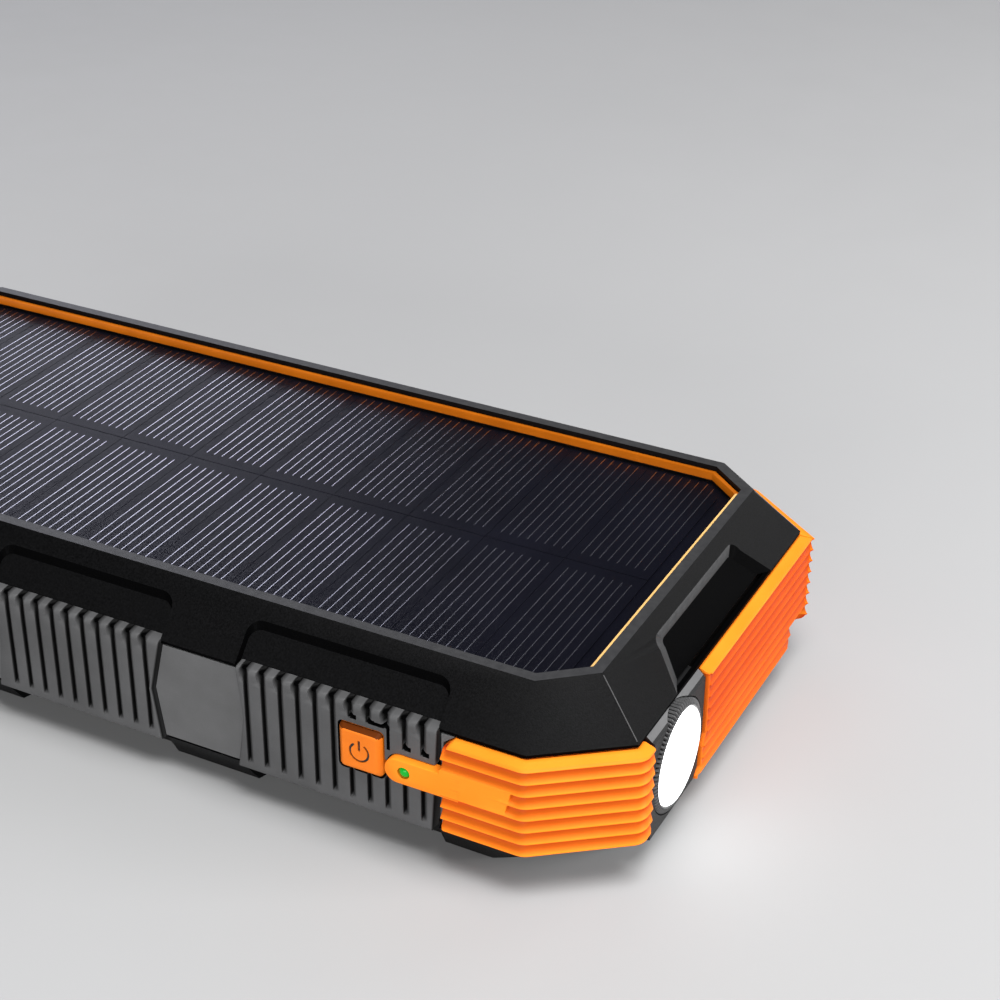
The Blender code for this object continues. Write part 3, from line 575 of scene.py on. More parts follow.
def slope_cutter(outer, inner, depth, place, step_finish=0, floor_finish=0, dark_beyond=None):
    """A cutter from just above a sloping face down to a recess floor. place(u, up, out) is a 3-D point.
    Steps whose middle is further along u than dark_beyond take the floor's finish."""
    lip = [tuple(Vector(rim) * 2 - Vector(floor)) for rim, floor in zip(outer, inner)]
    rings = [(lip, depth), (outer, 0.0), (inner, -depth)]
    mesh = loft([[place(u, up, out) for u, up in outline] for outline, out in rings])
    for i, face in enumerate(mesh.faces[len(outer) : 2 * len(outer)]):
        dark = dark_beyond is not None and (outer[i - 1][0] + outer[i][0]) / 2 > dark_beyond
        face.material_index = floor_finish if dark else step_finish
    mesh.faces[-1].material_index = floor_finish
    return mesh


def slope_place(start, top, middle, side, along_x):
    """Maps slope coordinates to points. start and top are (distance from the middle, z) of the slope's
    lower and upper edge; middle is where u is 0 along the edge; side is +1 or -1."""
    rise = (Vector(top) - Vector(start)).normalized()
    normal = Vector((abs(rise.y), abs(rise.x) * math.copysign(1, rise.y)))

    def place(u, up, out):
        reach, z = Vector(start) + rise * up + normal * out
        if along_x:
            return (middle + u, side * reach, z)
        return (side * reach, middle + u, z)

    return place


def frame_recesses():
    """Arched recesses over the three grips on each long side, and one wide recess on each end."""
    cutters = []
    for side in (-1, 1):
        for middle, half in ((0.0, 16.6), (47.4, 17.3), (-47.4, 17.3)):
            place = slope_place((BODY.width, SLOPE_Z), (RIM.width, TOP_Z), middle, side, True)
            outer = arch(half, half, -3.0, 7.4, 2.4)
            inner = arch(half - 0.3, half - 0.3, -3.0, 7.4 - RECESS_STEP, 2.0)
            # Their steps carry painted shade.
            cutters.append(slope_cutter(outer, inner, RECESS, place, 1, 0))
        place = slope_place((BODY.length, SLOPE_Z), (RIM.length, TOP_Z), 0.0, side, False)
        outer = arch(21.0, 16.0, -3.0, 8.2, 2.0)
        inner = [(u + 1.3 if u < 0 else u, up) for u, up in arch(19.6, 14.6, -3.0, 6.7, 1.2)]
        # The end recess's steps carry painted light, its floor and far steps painted shade.
        cutters.append(slope_cutter(outer, inner, 1.1, place, 2, 1, 14.8))
    return cutters


def rear_recesses():
    """Like recesses turned over: under every grip, and one under the left-hand end."""
    cutters = []
    start, top = (BODY.width, REAR_TOP_Z), (REAR_RIM.width, REAR_BOTTOM_Z)
    for side in (-1, 1):
        for middle, half in ((0.0, 16.8), (47.2, 17.9), (-47.2, 17.9)):
            place = slope_place(start, top, middle, side, True)
            outer = arch(half, half - 1.5, -3.0, 9.0, 1.5)
            inner = arch(half - 0.3, half - 1.8, -3.0, 8.6, 1.5)
            cutters.append(slope_cutter(outer, inner, 1.3, place))
    place = slope_place((BODY.length, REAR_TOP_Z), (REAR_RIM.length, REAR_BOTTOM_Z), 0.0, -1, False)
    outer, inner = arch(20.0, 17.0, -3.0, 4.6, 1.5), arch(19.0, 16.0, -3.0, 3.8, 1.2)
    cutters.append(slope_cutter(outer, inner, 0.9, place))
    return cutters


# Case


def make_top_frame():
    sloping_inside = grown(slope_plan(FLANGE_Z), -FRAME_WALL)
    border, flange = grown(RIM, -RIM_WIDTH), grown(RIM, -6.0)
    section = [(BODY, SLOPE_Z), (RIM, TOP_Z), (border, TOP_Z), (border, LEDGE_Z), (flange, LEDGE_Z)]
    section += [(flange, FLANGE_Z), (sloping_inside, FLANGE_Z), (grown(BODY, -FRAME_WALL), SLOPE_Z)]
    mesh = octagonal(section, closed=True)
    # painted light: the rim's top faces take the lighter copy of the frame plastic.
    paint(mesh.faces[SIDES : 2 * SIDES], 2)
    finishes = ("frame_painted_shade", "frame_painted_light")
    top = add_piece("frame_shell", mesh, "frame_black", ["top_frame"], others=finishes)
    combine(top, frame_recesses(), "DIFFERENCE")
    soften(top, 0.22)
    # A dark strip in the painted shade finish, where the shadow of the gap under the frame's edge falls.
    lip = [(-0.9, LIP_Z), (-0.15, LIP_Z), (-0.1, LIP_Z + 0.05), (-0.1, LIP_TOP_Z), (-0.9, LIP_TOP_Z)]
    mesh = octagonal([(grown(BODY, out), z) for out, z in lip], closed=True)
    add_piece("frame_shadow_strip", mesh, "frame_black", finish="frame_painted_shade")
    # painted highlights: thin light ridges along the slope's four corner creases.
    creases = []
    for corner in (0, 1, 4, 5):
        rings = []
        for z in (TOP_Z - 0.25, SLOPE_Z + 0.35):
            x, y = corners(slope_plan(z))[corner]
            out_x, out_y = math.copysign(1.0, x), math.copysign(0.5, y)
            points = [(x, y - 0.09, z), (x + 0.03 * out_x, y + 0.03 * out_y, z + 0.02), (x, y + 0.09, z)]
            rings.append(points + [(x - 0.4 * out_x, y, z - 0.1)])
        creases.append(loft(rings))
    add_piece("frame_crease_highlights", joined(creases), "frame_black", finish="bezel_grey")


# Raised parts of the side wall, in (x, z): between two grips, and beside a corner bumper.
GRIP_PATCH = [(17.0, WALL_TOP_Z), (15.0, WAIST_Z), (16.2, WALL_BOTTOM_Z)]
GRIP_PATCH += [(29.8, WALL_BOTTOM_Z), (31.2, WAIST_Z), (30.3, WALL_TOP_Z)]
BUMPER_PATCH = [(65.15, 7.0), (65.5, 7.0), (65.5, 22.1), (67.3, WALL_TOP_Z), (65.15, WALL_TOP_Z)]


def make_mid_housing():
    outside, inside = grown(BODY, -POCKET), grown(BODY, -POCKET - WALL)
    section = [(outside, WALL_BOTTOM_Z), (outside, SHADE_BAND_Z), (outside, WALL_TOP_Z)]
    wall = octagonal(section + [(inside, WALL_TOP_Z), (inside, WALL_BOTTOM_Z)], closed=True)
    # painted shade: the wall's upper band and top, seen through the gap under the frame, are black.
    paint(wall.faces[SIDES : 3 * SIDES], 1)
    node, black = ["mid_housing"], ("painted_shade_black",)
    housing = add_piece("side_wall", wall, "grip_grey", node, finish="wall_grey", others=black)
    raised = []
    for end in (1, -1):
        for side in (-1, 1):
            for patch in (GRIP_PATCH, BUMPER_PATCH):
                raised.append(prism(mirrored(patch, end), "Y", side * 40.6, side * BODY.width))
    end_patch = [(-30.0, 7.0), (-28.8, WAIST_Z), (-30.0, WALL_TOP_Z)]
    end_patch += [(-y, z) for y, z in reversed(end_patch)]
    raised.append(prism(end_patch, "X", -BODY.length, -88.9))
    combine(housing, raised, "UNION")
    cutters = [prism(TORCH_BAY, "Z", 0.0, 30.0)]
    for y, half_width, half_height in [(y, 6.9, 3.2) for y in USB_A_YS] + [(USB_C_Y, 4.8, 1.95)]:
        hole = rounded_box((y, PORT_Z), (2 * half_width, 2 * half_height), 0.5)
        cutters.append(prism(hole, "X", *THROUGH_END))
    cutters.append(prism(rounded_box((BUTTON_X, BUTTON_Z), (8.1, 8.7), 1.0), "Y", *THROUGH_SIDE))
    cutters.append(cylinder("Y", (LIGHT_X, LIGHT_Z), 1.3, *THROUGH_SIDE, 32))
    combine(housing, cutters, "DIFFERENCE")
    soften(housing, 0.14)


def make_rear_cover():
    section = [(REAR_RIM, REAR_BOTTOM_Z), (BODY, REAR_TOP_Z), (grown(BODY, -3.0), REAR_TOP_Z)]
    mesh = octagonal(section + [(grown(REAR_RIM, -3.4), REAR_FLOOR_Z)])
    cover = add_piece("rear_shell", mesh, "frame_black", ["rear_cover"])
    cutters = rear_recesses()
    for screw in SCREWS:
        cutters.append(cylinder("Z", screw[:2], 1.4, 0.0, 6.0, 24))
        cutters.append(cylinder("Z", screw[:2], 2.3, 0.0, 2.3, 48))
    cutters += [cylinder("Z", foot[:2], 5.3, 0.0, 1.7, 64) for foot in FEET]
    cutters.append(prism(TORCH_BAY, "Z", 4.9, 12.0))
    cutters.append(prism(rounded_box((0.0, 0.0), (84.0, 40.0), 3.0), "Z", 0.0, 0.9))
    combine(cover, cutters, "DIFFERENCE")
    ridges = [prism(rounded_box((x, 0.0), (1.2, 35.0), 0.55), "Z", 0.66, 1.2) for x in spaced(0.0, 19, 4.2)]
    combine(cover, ridges, "UNION")
    soften(cover, 0.16)


def make_feet():
    """Rubber feet with a rounded edge and two shallow rings moulded into the sole."""
    for index, foot in enumerate(FEET):
        profile = [(0.9, 0.35), (2.0, 0.35), (2.15, 0.05), (2.3, 0.0), (2.9, 0.0), (3.05, 0.05), (3.15, 0.25)]
        profile += [(3.5, 0.25), (3.6, 0.05), (3.75, 0.0), (4.2, 0.0), (4.5, 0.12), (4.75, 0.35), (4.9, 0.7)]
        profile += [(4.9, 1.4), (0.9, 1.4)]
        foot_mesh = lathe(profile, "Z", foot[:2], 64)
        add_piece(f"rubber_foot_{index + 1}", foot_mesh, "rubber_black", [f"foot_{index + 1}"])


def make_screws():
    """Self-tapping screws: a domed head with a six-lobed socket, and a ridged shank."""
    for index, screw in enumerate(SCREWS):
        profile = [(0.5, 1.6), (1.25, 1.6), (1.25, 0.75), (1.7, 0.78), (1.95, 0.95), (2.0, 1.25)]
        profile += [(2.0, 1.95), (1.95, 2.0), (0.85, 2.0)]
        for turn in range(19):
            z = 2.4 + turn * 0.78
            profile += [(0.72, z), (0.98, z + 0.3), (0.98, z + 0.4), (0.72, z + 0.7)]
        profile.append((0.25, 18.2))
        mesh = lathe(profile, "Z", screw[:2], 36)
        for vertex in mesh.verts:
            away = vertex.co.xy - screw.xy
            if vertex.co.z < 1.65 and 1.1 < away.length < 1.4:
                lobe = 1.0 + 0.16 * math.cos(6 * math.atan2(away.y, away.x))
                vertex.co.x = screw.x + away.x * lobe * 0.86
                vertex.co.y = screw.y + away.y * lobe * 0.86
        add_piece(f"screw_{index + 1}", mesh, "steel", [f"case_screw_{index + 1}"], smooth=30.0)


# Solar panel


def make_trim():
    """The orange strip round the panel, with its upper edges rounded."""
    tray = grown(RIM, -RIM_WIDTH - 0.15)
    low, high = FILM_TOP_Z + 0.12, TOP_Z - 0.8
    section = [(0.0, low), (0.0, high - 0.15), (-0.06, high - 0.04), (-0.2, high), (-0.55, high)]
    section += [(-0.69, high - 0.04), (-0.75, high - 0.15), (-0.75, low)]
    mesh = octagonal([(grown(tray, out), z) for out, z in section], closed=True)
    # painted highlight: the rounded top of the right-hand end takes a lighter orange.
    right_end = 1
    paint([mesh.faces[strip * SIDES + right_end] for strip in range(1, 6)], 1)
    add_piece("panel_border", mesh, "trim_orange", ["panel_trim"], others=("trim_painted_highlight",))


def make_cells():
    """Each row's cells, all but touching, with eight raised silver fingers printed on each one."""
    tray = grown(RIM, -RIM_WIDTH - 0.9)
    inner = 0.08
    for name, side in (("near", -1), ("far", 1)):
        cells, lines = [], []
        for group, middle in enumerate(spaced(0.0, GROUPS, GROUP_PITCH)):
            left, right = middle - GROUP_PITCH / 2 + 0.05, middle + GROUP_PITCH / 2 - 0.05
            outer, (cut_x, cut_y) = tray.width - 0.3, (2.8, 4.2)
            outline = [(left, inner), (right, inner), (right, outer), (left, outer)]
            if group == GROUPS - 1:
                outline[2:3] = [(right, outer - cut_y), (right - cut_x, outer)]
            elif group == 0:
                outline[3:] = [(left + cut_x, outer), (left, outer - cut_y)]
            cells.append(prism([(x, side * y) for x, y in outline], "Z", CELL_TOP_Z - 0.2, CELL_TOP_Z))
            for x in spaced(middle, FINGERS, FINGER_PITCH):
                corner = max(abs(x) - (tray.length - tray.cut_x - 0.6), 0.0)
                end = tray.width - 0.5 - corner * tray.cut_y / tray.cut_x
                start, stop = sorted((side * (ROW_GAP / 2 + 0.35), side * end))
                low = (x - FINGER_WIDTH / 2, start, CELL_TOP_Z - 0.01)
                lines.append(block(low, (x + FINGER_WIDTH / 2, stop, CELL_TOP_Z + 0.02)))
        add_piece(f"cell_row_{name}", joined(cells), "cell_silicon", [f"cell_string_{name}"])
        add_piece(f"cell_fingers_{name}", joined(lines), "cell_silicon", finish="printed_silver")


# Grips


def between(points, z):
    """The first value of (value, z) points, sorted by rising z, at a level."""
    if z <= points[0][1]:
        return points[0][0]
    for (low, low_z), (high, high_z) in zip(points, points[1:]):
        if z <= high_z:
            return low + (high - low) * (z - low_z) / (high_z - low_z)
    return points[-1][0]


# A grip from its bottom edge up: (distance outside the case, z, share of the groove's depth).
GRIP_BOTTOM_Z = 5.82
GRIP_ROWS = [(-1.2, 5.85, 0), (0.25, GRIP_BOTTOM_Z, 0), (0.6, 5.9, 0), (0.82, 6.1, 0)]
GRIP_ROWS += [(0.9, z, 0) for z in (6.45, 6.9, 7.3)] + [(0.9, 7.4, 0.1), (0.9, 7.55, 0.4), (0.9, 7.75, 0.8)]
GRIP_ROWS += [(0.9, z, 1) for z in (8.0, 9.4)]
GRIP_ROWS += [(0.9, 11.0 + i * 1.4, 1) for i in range(8)]
GRIP_ROWS += [(0.9, z, 1) for z in (22.0, 22.5, 23.0, 23.5)]
GRIP_ROWS += [(0.88, 23.9, 1), (0.8, 24.12, 1), (0.62, 24.3, 1), (0.3, 24.42, 1), (-0.1, 24.5, 1)]
GRIP_ROWS += [(-0.5, 24.56, 1), (-0.85, 24.6, 1), (-1.3, 24.62, 1)]

# Across a groove: (distance from its slit, share of its depth, painted shade). A slope rises from the slit's
# +X side.
SLIT_DEPTH = 1.7
GROOVE = [(-0.42, 0.0, 0.0), (-0.27, 0.01, 0.0), (-0.23, 0.05, 0.5), (-0.2, 0.2, 1.0), (-0.17, 0.85, 1.0)]
GROOVE += [(-0.1, 1.0, 1.0), (0.02, 1.0, 1.0), (0.07, 0.9, 1.0), (0.11, 0.32, 1.0), (0.22, 0.26, 0.8)]
GROOVE += [(0.7, 0.05, 0.3), (0.82, 0.01, 0.08), (0.95, 0.0, 0.0)]


def grip_mesh(side, left, right, grooves, stops=()):
    """A ribbed strip. Left and right hold (x, z) points of its ends; a stop fills grooves within a window."""
    levels = list(GRIP_ROWS)
    for _, _, z_low, z_high in stops:
        levels += [(0.9, z, 1) for z in (z_low, z_low + 0.06, z_high - 0.06, z_high)]
    levels.sort(key=lambda row: (row[1], -row[0]))
    front, back = [], []
    for out, z, share in levels:
        start, end = between(left, z), between(right, z)
        opening = min(max((z - 22.0) / 1.9, 0.0), 1.0)
        # The ends' side walls carry painted shade.
        columns = [(start, 0.35, 1), (start + 0.05, 0.2, 0.6), (start + 0.15, 0.07, 0), (start + 0.3, 0.0, 0)]
        for centre in grooves:
            filled = any(a <= centre <= b and low < z < high for a, b, low, high in stops)
            for across, depth, shade in GROOVE:
                # At the top the grooves open wider and their painted shade goes to black.
                if across < -0.19:
                    across -= 0.6 * opening
                    rise = opening if across + 0.6 * opening > -0.4 else 0.0
                    depth += 0.4 * rise
                    shade += (1 - shade) * rise
                x = min(max(centre + across, start + 0.3), end - 0.3)
                cut = 0.0 if filled else depth * share * SLIT_DEPTH * (1 + 0.3 * opening)
                columns.append((x, cut, 0.0 if filled else shade * share))
        columns += [(end - 0.3, 0.0, 0), (end - 0.15, 0.07, 0), (end - 0.05, 0.2, 0.6), (end, 0.35, 1)]
        row = []
        for x, depth, shade in columns:
            reach = min(out, GRIP_PROUD - depth)
            row.append((x, side * (BODY.width + reach), z, shade if reach <= out else 0.0))
        front.append(row)
        level = min(max(z, GRIP_BOTTOM_Z), 23.9)
        back.append([(x, side * (BODY.width - 1.4), level) for x, depth, shade in columns])
    return shell(front, back)


def make_grips():
    middle_grooves = spaced(0.72, 10, 2.92)
    middle_edge = [(15.9, 5.8), (14.7, WAIST_Z), (16.7, 24.0)]
    inner, outer = [(30.1, 5.8), (31.5, WAIST_Z), (30.6, 24.0)], [(63.9, 5.8), (64.5, WAIST_Z), (64.85, 24.0)]
    for row, side in (("near", -1), ("far", 1)):
        mesh = grip_mesh(side, mirrored(middle_edge, -1), middle_edge, middle_grooves)
        add_piece(f"rubber_grip_{row}_middle", mesh, "grip_grey", [f"grip_{row}_middle"], smooth=50.0)
        for end, mirror in (("right", 1), ("left", -1)):
            grooves = spaced(mirror * 47.3, 11, 3.02)
            with_button = (row, end) == ("near", "right")
            over_button = BUTTON_Z + BUTTON_HOLE[1] / 2 + 0.8
            over_pill = LIGHT_Z + TONGUE_HEIGHT / 2 + GAP + 0.8
            stops = [(48.0, 57.0, over_pill - 2.8, over_button), (57.0, 64.0, over_pill - 2.8, over_pill)]
            ends = (inner, outer) if mirror == 1 else (mirrored(outer, -1), mirrored(inner, -1))
            mesh = grip_mesh(side, *ends, grooves, stops if with_button else ())
            node, black = f"grip_{row}_{end}", ("painted_shade_black",) if with_button else ()
            grip = add_piece(f"rubber_{node}", mesh, "grip_grey", [node], smooth=50.0, others=black)
            if with_button:
                cut_button_bed(grip, grooves, over_button, over_pill)


def cut_button_bed(grip, grooves, over_button, over_pill):
    """The holes for the button and for the bumper's tongue, and the square feet of the grooves above.
    All their walls are painted black as shade."""
    cutters = [prism(rounded_box((BUTTON_X, BUTTON_Z), BUTTON_HOLE, 0.9), "Y", *THROUGH_SIDE)]
    bed_height = TONGUE_HEIGHT + 2 * 0.18
    bed = rounded_box((LIGHT_X + 3.1, LIGHT_Z), (13.0, bed_height), bed_height / 2 - 0.02, 12)
    cutters.append(prism(bed, "Y", -50.0, -42.3))
    floor = BODY.width + GRIP_PROUD - 1.3
    for centre in grooves:
        level = over_button if centre < 56.0 else over_pill
        if centre > 48.0 and not 54.0 < centre < 58.0:
            cutters.append(block((centre - 0.2, -50.0, level - 0.05), (centre + 1.25, -floor, level + 0.75)))
    corner_x = BUTTON_X + 4.85
    cutters.append(block((54.0, -50.0, over_button - 0.05), (corner_x, -floor, over_button + 0.6)))
    cutters.append(block((corner_x - 0.55, -50.0, LIGHT_Z + 2.35), (corner_x, -floor, over_button + 0.2)))
    for cutter in cutters:
        paint(cutter.faces, 1)
    combine(grip, cutters, "DIFFERENCE", 50.0)


# Corner bumpers and port cover


def rib_profile(back, crests, bottom, root):
    """A ribbed strip's section from the top of its back down: (distance outside the case, z, painted shade).
    """
    points = [(back, LEDGE_INNER_Z - 0.3, 0), (0.0, LEDGE_INNER_Z - 0.05, 0), (0.1, LEDGE_INNER_Z, 0)]
    points += [(0.6, LEDGE_INNER_Z - 0.16, 0), (1.5, FIRST_CREST_Z + 0.28, 0)]
    for i in range(crests):
        z = FIRST_CREST_Z - i * CREST_PITCH
        # painted shade darkens the undercut below each crest and fades towards the next crest.
        points += [(2.08, z + 0.16, 0.2), (2.17, z + 0.08, 0.12), (2.2, z, 0.15), (2.17, z - 0.08, 0.85)]
        points += [(2.06, z - 0.16, 1), ((2.06 + root) / 2, z - 0.28, 1), (root + 0.1, z - 0.4, 1)]
        points.append((root, z - 0.58, 0.92))
        if i < crests - 1:
            for share in (0.15, 0.35, 0.55, 0.72, 0.86):
                out = root + (2.06 - root) * share**1.6
                points.append((out, z - 0.58 - share * (CREST_PITCH - 0.8), 0.9 - 0.64 * share))
    last = points[-1][1]
    points += [(root * 0.8, last - 0.3, 1), (0.62, bottom, 0.8), (0.45, bottom - 0.1, 0.8)]
    return points + [(back, bottom - 0.1, 0)]


def corner_path(out, end_out):
    """Places (x, y) along one corner at a distance outside the case: side face, corner face, end face.
    Ribs that stand proud go a part of the way to end_out over the last bend."""
    radius = 0.7
    core = grown(BODY, -radius)
    first = Vector((core.length - core.cut_x, core.width))
    second = Vector((core.length, core.width - core.cut_y))
    slant = math.atan2(BODY.cut_x, BODY.cut_y)
    places = []
    for hub, start, stop in ((first, math.pi / 2, slant), (second, slant, 0.0)):
        for i in range(7):
            turn = start + (stop - start) * i / 6
            calm = 0.7 * i / 6 if hub is second and out > 1.0 else 0.0
            reach = max(radius + out + (end_out - out) * calm, 0.02)
            places.append(hub + Vector((math.cos(turn), math.sin(turn))) * reach)
        if hub is first:
            last = hub + Vector((math.cos(slant), math.sin(slant))) * reach
            target = second + Vector((math.cos(slant), math.sin(slant))) * reach
            places += [last.lerp(target, share) for share in (0.25, 0.5, 0.75)]
    return places


START_STEPS = (0.0, 0.05, 0.13, 0.25, 0.45)
TIP_STEPS = (0.0, 0.06, 0.16, 0.3, 0.48, 0.7)


def ease(distance, reach):
    """From 0 at an end to 1 at a distance, along a quarter circle."""
    return math.sqrt(max(0.0, 1 - (1 - min(distance / reach, 1.0)) ** 2))


def bumper_grids(profile, end, side, to_tip, with_band=False):
    """A bumper's points: the profile's rows, each run from the long side round the corner."""
    start_edge = [(66.9, 7.3), (65.85, 8.3), (65.85, 22.0), (67.9, 23.8)]
    tip_edge = [(31.8, 7.0), (30.8, 8.6), (30.8, 22.5), (31.3, 23.8)]
    band_low, band_high = FIRST_CREST_Z - 4 * CREST_PITCH - 0.02, FIRST_CREST_Z - 2 * CREST_PITCH + 0.1
    grid = []
    for out, z, shade in profile:
        row = []
        start = between(start_edge, z)
        band_end = 76.8 + (min(max(z, 13.0), 19.0) - LIGHT_Z) * 0.25
        in_band = with_band and band_low < z < band_high
        for step in START_STEPS:
            eased = 0.75 + (out - 0.75) * ease(step, 0.3) if out > 0.75 else out
            row.append((start + step, BODY.width + (2.1 if in_band else eased), 0 if in_band else shade))
        for share in (0.33, 0.66, 1.0):
            x = start + 0.45 + (band_end - 0.08 - start - 0.45) * share
            row.append((x, BODY.width + (2.1 if in_band else out), 0 if in_band else shade))
        row.append((band_end + 0.08, BODY.width + out, shade))
        if to_tip:
            places = corner_path(out, 1.85)
            row += [(*place, shade) for place in places]
            tip = between(tip_edge, z)
            for step in reversed(TIP_STEPS):
                calm = 0.7 if out > 1.0 else 0.0
                softer = out + (1.85 - out) * calm
                eased = 0.55 + (softer - 0.55) * ease(step, 0.6) if out > 0.55 else out
                row.append((BODY.length + eased, tip + step, shade * 0.8))
        else:
            row += [(*place, shade) for place in corner_path(out, out)[:-6]]
            around = grown(BODY, out)
            row[-1] = (around.length, around.width - around.cut_y, shade)
        grid.append([(end * x, side * y, z, tone) for x, y, tone in row])
    return grid


def make_bumper(name, end, side, to_tip, with_band=False):
    profile = rib_profile(-POCKET + 0.4, BUMPER_CRESTS, 6.9, 1.05 if to_tip else 1.7)
    behind = [(-POCKET + 0.4, z, 0) for out, z, shade in profile]
    behind[0] = profile[0]
    front = bumper_grids(profile, end, side, to_tip, with_band)
    back = bumper_grids(behind, end, side, to_tip)
    return add_piece(f"silicone_{name}", shell(front, back), "silicone_orange", [name], smooth=50.0)


def make_bumpers():
    make_bumper("bumper_far_right", 1, 1, False)
    make_bumper("bumper_near_left", -1, -1, True)
    make_bumper("bumper_far_left", -1, 1, True)
    half = TONGUE_HEIGHT / 2
    bumper = make_bumper("bumper_near_right", 1, -1, True, with_band=True)
    rings = []
    for y, inset in ((-43.3, 0.0), (-44.9, 0.0), (-45.04, 0.05), (-45.1, 0.18)):
        size = (14.2 - 2 * inset, TONGUE_HEIGHT - 2 * inset)
        outline = rounded_box((63.9, LIGHT_Z), size, half - 0.05 - inset, 14)
        low, high, overlap_x = LIGHT_Z - half, LIGHT_Z + half, 69.0
        outline = [(x, z) if x < 64.0 else (overlap_x, max(min(z, high), low)) for x, z in outline]
        rings.append(lifted(outline, "Y", y))
    combine(bumper, [loft(rings)], "UNION", 50.0)
    combine(bumper, [cylinder("Y", (LIGHT_X, LIGHT_Z), 1.02, -50.0, -40.0, 48)], "DIFFERENCE", 50.0)


def make_port_cover():
    profile = rib_profile(-POCKET + 0.45, COVER_CRESTS, 5.65, COVER_ROOT)
    left_edge = [(-13.1, 5.6), (-11.8, 6.4), (-11.8, 10.4), (-10.6, 12.0)]
    front, back = [], []
    for out, z, shade in profile:
        left = between(left_edge, z)
        around = grown(BODY, out)
        right = around.width - around.cut_y - GAP
        if z < 10.0:
            right = 27.0 - max(0.0, 6.6 - z) * 1.6
        ys, outs = [], []
        for step, flat in ((0.0, 1.3), (0.05, 1.6), (0.11, 1.8), (0.18, 1.87), (0.36, 1.87)):
            ys.append(left + step)
            outs.append(min(out, flat) if z > 22.7 or out < 1.3 else flat)
        for share in (0.0, 0.1, 0.3, 0.5, 0.7, 0.9):
            ys.append(left + 0.5 + (right - left - 0.7) * share)
            outs.append(out)
        ys += [right - 0.1, right]
        outs += [out, out - 0.1 if out > 0 else out]
        # painted shade over the whole cover: a little on the ledge, more on the strip at the left and on the
        # ribs; glow is a painted pool of light that lightens the cover towards the bottom.
        if z > 22.7:
            tones = [max(shade, 0.1)] * 13
        else:
            glow = 0.28 * min(max((15.0 - z) / 9.0, 0.0), 1.0)
            tones = [0.62 - glow] * 5 + [0.70 + 0.22 * shade - glow * (1 - i / 8) for i in range(8)]
        reach = [BODY.length + (o * COVER_SET_BACK if o > 0 else o) for o in outs]
        front.append([(x, y, z, tone) for x, y, tone in zip(reach, ys, tones)])
        behind = profile[0][0]
        back.append([(BODY.length + behind, y, min(z, profile[0][1])) for y in ys])
    behind = BODY.length - POCKET + 0.45
    mesh, node = shell(front, back), ["port_cover"]
    cover = add_piece("silicone_port_cover", mesh, "silicone_orange", node, "cover", smooth=50.0)
    plugs = []
    for y, half_width, half_height in [(y, 5.0, 2.2) for y in USB_A_YS] + [(USB_C_Y, 3.2, 1.1)]:
        steps = ((behind + 0.5, 0.0), (behind - 1.1, 0.0), (behind - 1.3, 0.1), (behind - 1.4, 0.3))
        size = (2 * half_width, 2 * half_height)
        plugs.append(pillow("X", (y, PORT_Z), size, lambda inset: 0.9 - inset, steps))
    combine(cover, plugs, "UNION", 50.0)


def make_hinge_strip():
    """The thin skin of silicone that joins the port cover to the corner bumper."""
    ribs = rib_profile(0.4, BUMPER_CRESTS, 6.9, COVER_ROOT)
    profile = [point for point in ribs if 9.9 < point[1] < 23.0]
    slant = math.atan2(BODY.cut_x, BODY.cut_y)
    along = Vector((math.sin(slant), -math.cos(slant)))
    grids = ([], [])
    for grid, lift in zip(grids, (0.0, -0.45)):
        for out, z, shade in profile:
            around = grown(BODY, out * COVER_SET_BACK + lift - 0.02)
            corner = Vector((around.length, around.width - around.cut_y))
            row = [corner - along * back for back in (1.6, 1.2, 0.8, 0.4, 0.15)]
            row += [corner - Vector((0.0, down)) for down in (0.1, 0.4, 0.8, 1.2, 1.6)]
            grid.append([(x, y, z, shade) for x, y in row])
    strip = add_piece("cover_hinge_strip", shell(*grids), "silicone_orange", body=None, smooth=50.0)
    corner = grown(BODY, 1.7)
    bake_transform(strip)


# Button, status light and flashlight


def make_button():
    """A key with rounded edges and a power sign sunk into its face."""
    steps = ((-39.0, 0.0), (-43.7, 0.0), (-43.93, 0.06), (-44.35, 0.5), (-44.5, 0.66), (-44.58, 0.8))
    steps += ((-44.6, 1.0), (-44.6, 1.15))
    middle = (BUTTON_X, BUTTON_Z)
    mesh = pillow("Y", middle, BUTTON_SIZE, lambda inset: max(0.75 - 0.4 * inset, 0.2), steps, 8)
    # painted shade: the upper bevel takes a dark orange.
    upper_bevel = [face for face in mesh.faces if face.calc_center_median().z > BUTTON_Z + 3.1]
    paint([face for face in upper_bevel if -44.5 < face.calc_center_median().y < -43.6], 1)
    edge = ("key_painted_shade",)
    button = add_piece(
        "power_key", mesh, "silicone_orange", ["power_button"], "button", finish="key_orange", others=edge
    )
    combine(button, [prism(rounded_box(middle, (9.6, 10.2), 1.0, 8), "Y", -39.3, -38.5)], "UNION")
    combine(button, power_sign(0.0, -46.0, -44.35), "DIFFERENCE")
    sign = joined(power_sign(0.01, -44.36, -44.3))
    add_piece("power_sign", sign, "silicone_orange", body="button", finish="ink_black")


def power_sign(inset, front, back):
    """A broken ring and a bar, as meshes between two distances along Y."""
    half_gap = 32
    start, sweep = math.radians(90 + half_gap), math.radians(360 - 2 * half_gap)
    middle = (BUTTON_X, BUTTON_Z - 0.2)
    ring_outline = arc(middle, 1.74 - inset, start, sweep, 40)
    ring_outline += reversed(arc(middle, 1.36 + inset, start, sweep, 40))
    bar = rounded_box((BUTTON_X, BUTTON_Z + 0.95), (0.4 - inset, 1.9 - inset), 0.12)
    return [prism(ring_outline, "Y", front, back), prism(bar, "Y", front, back)]


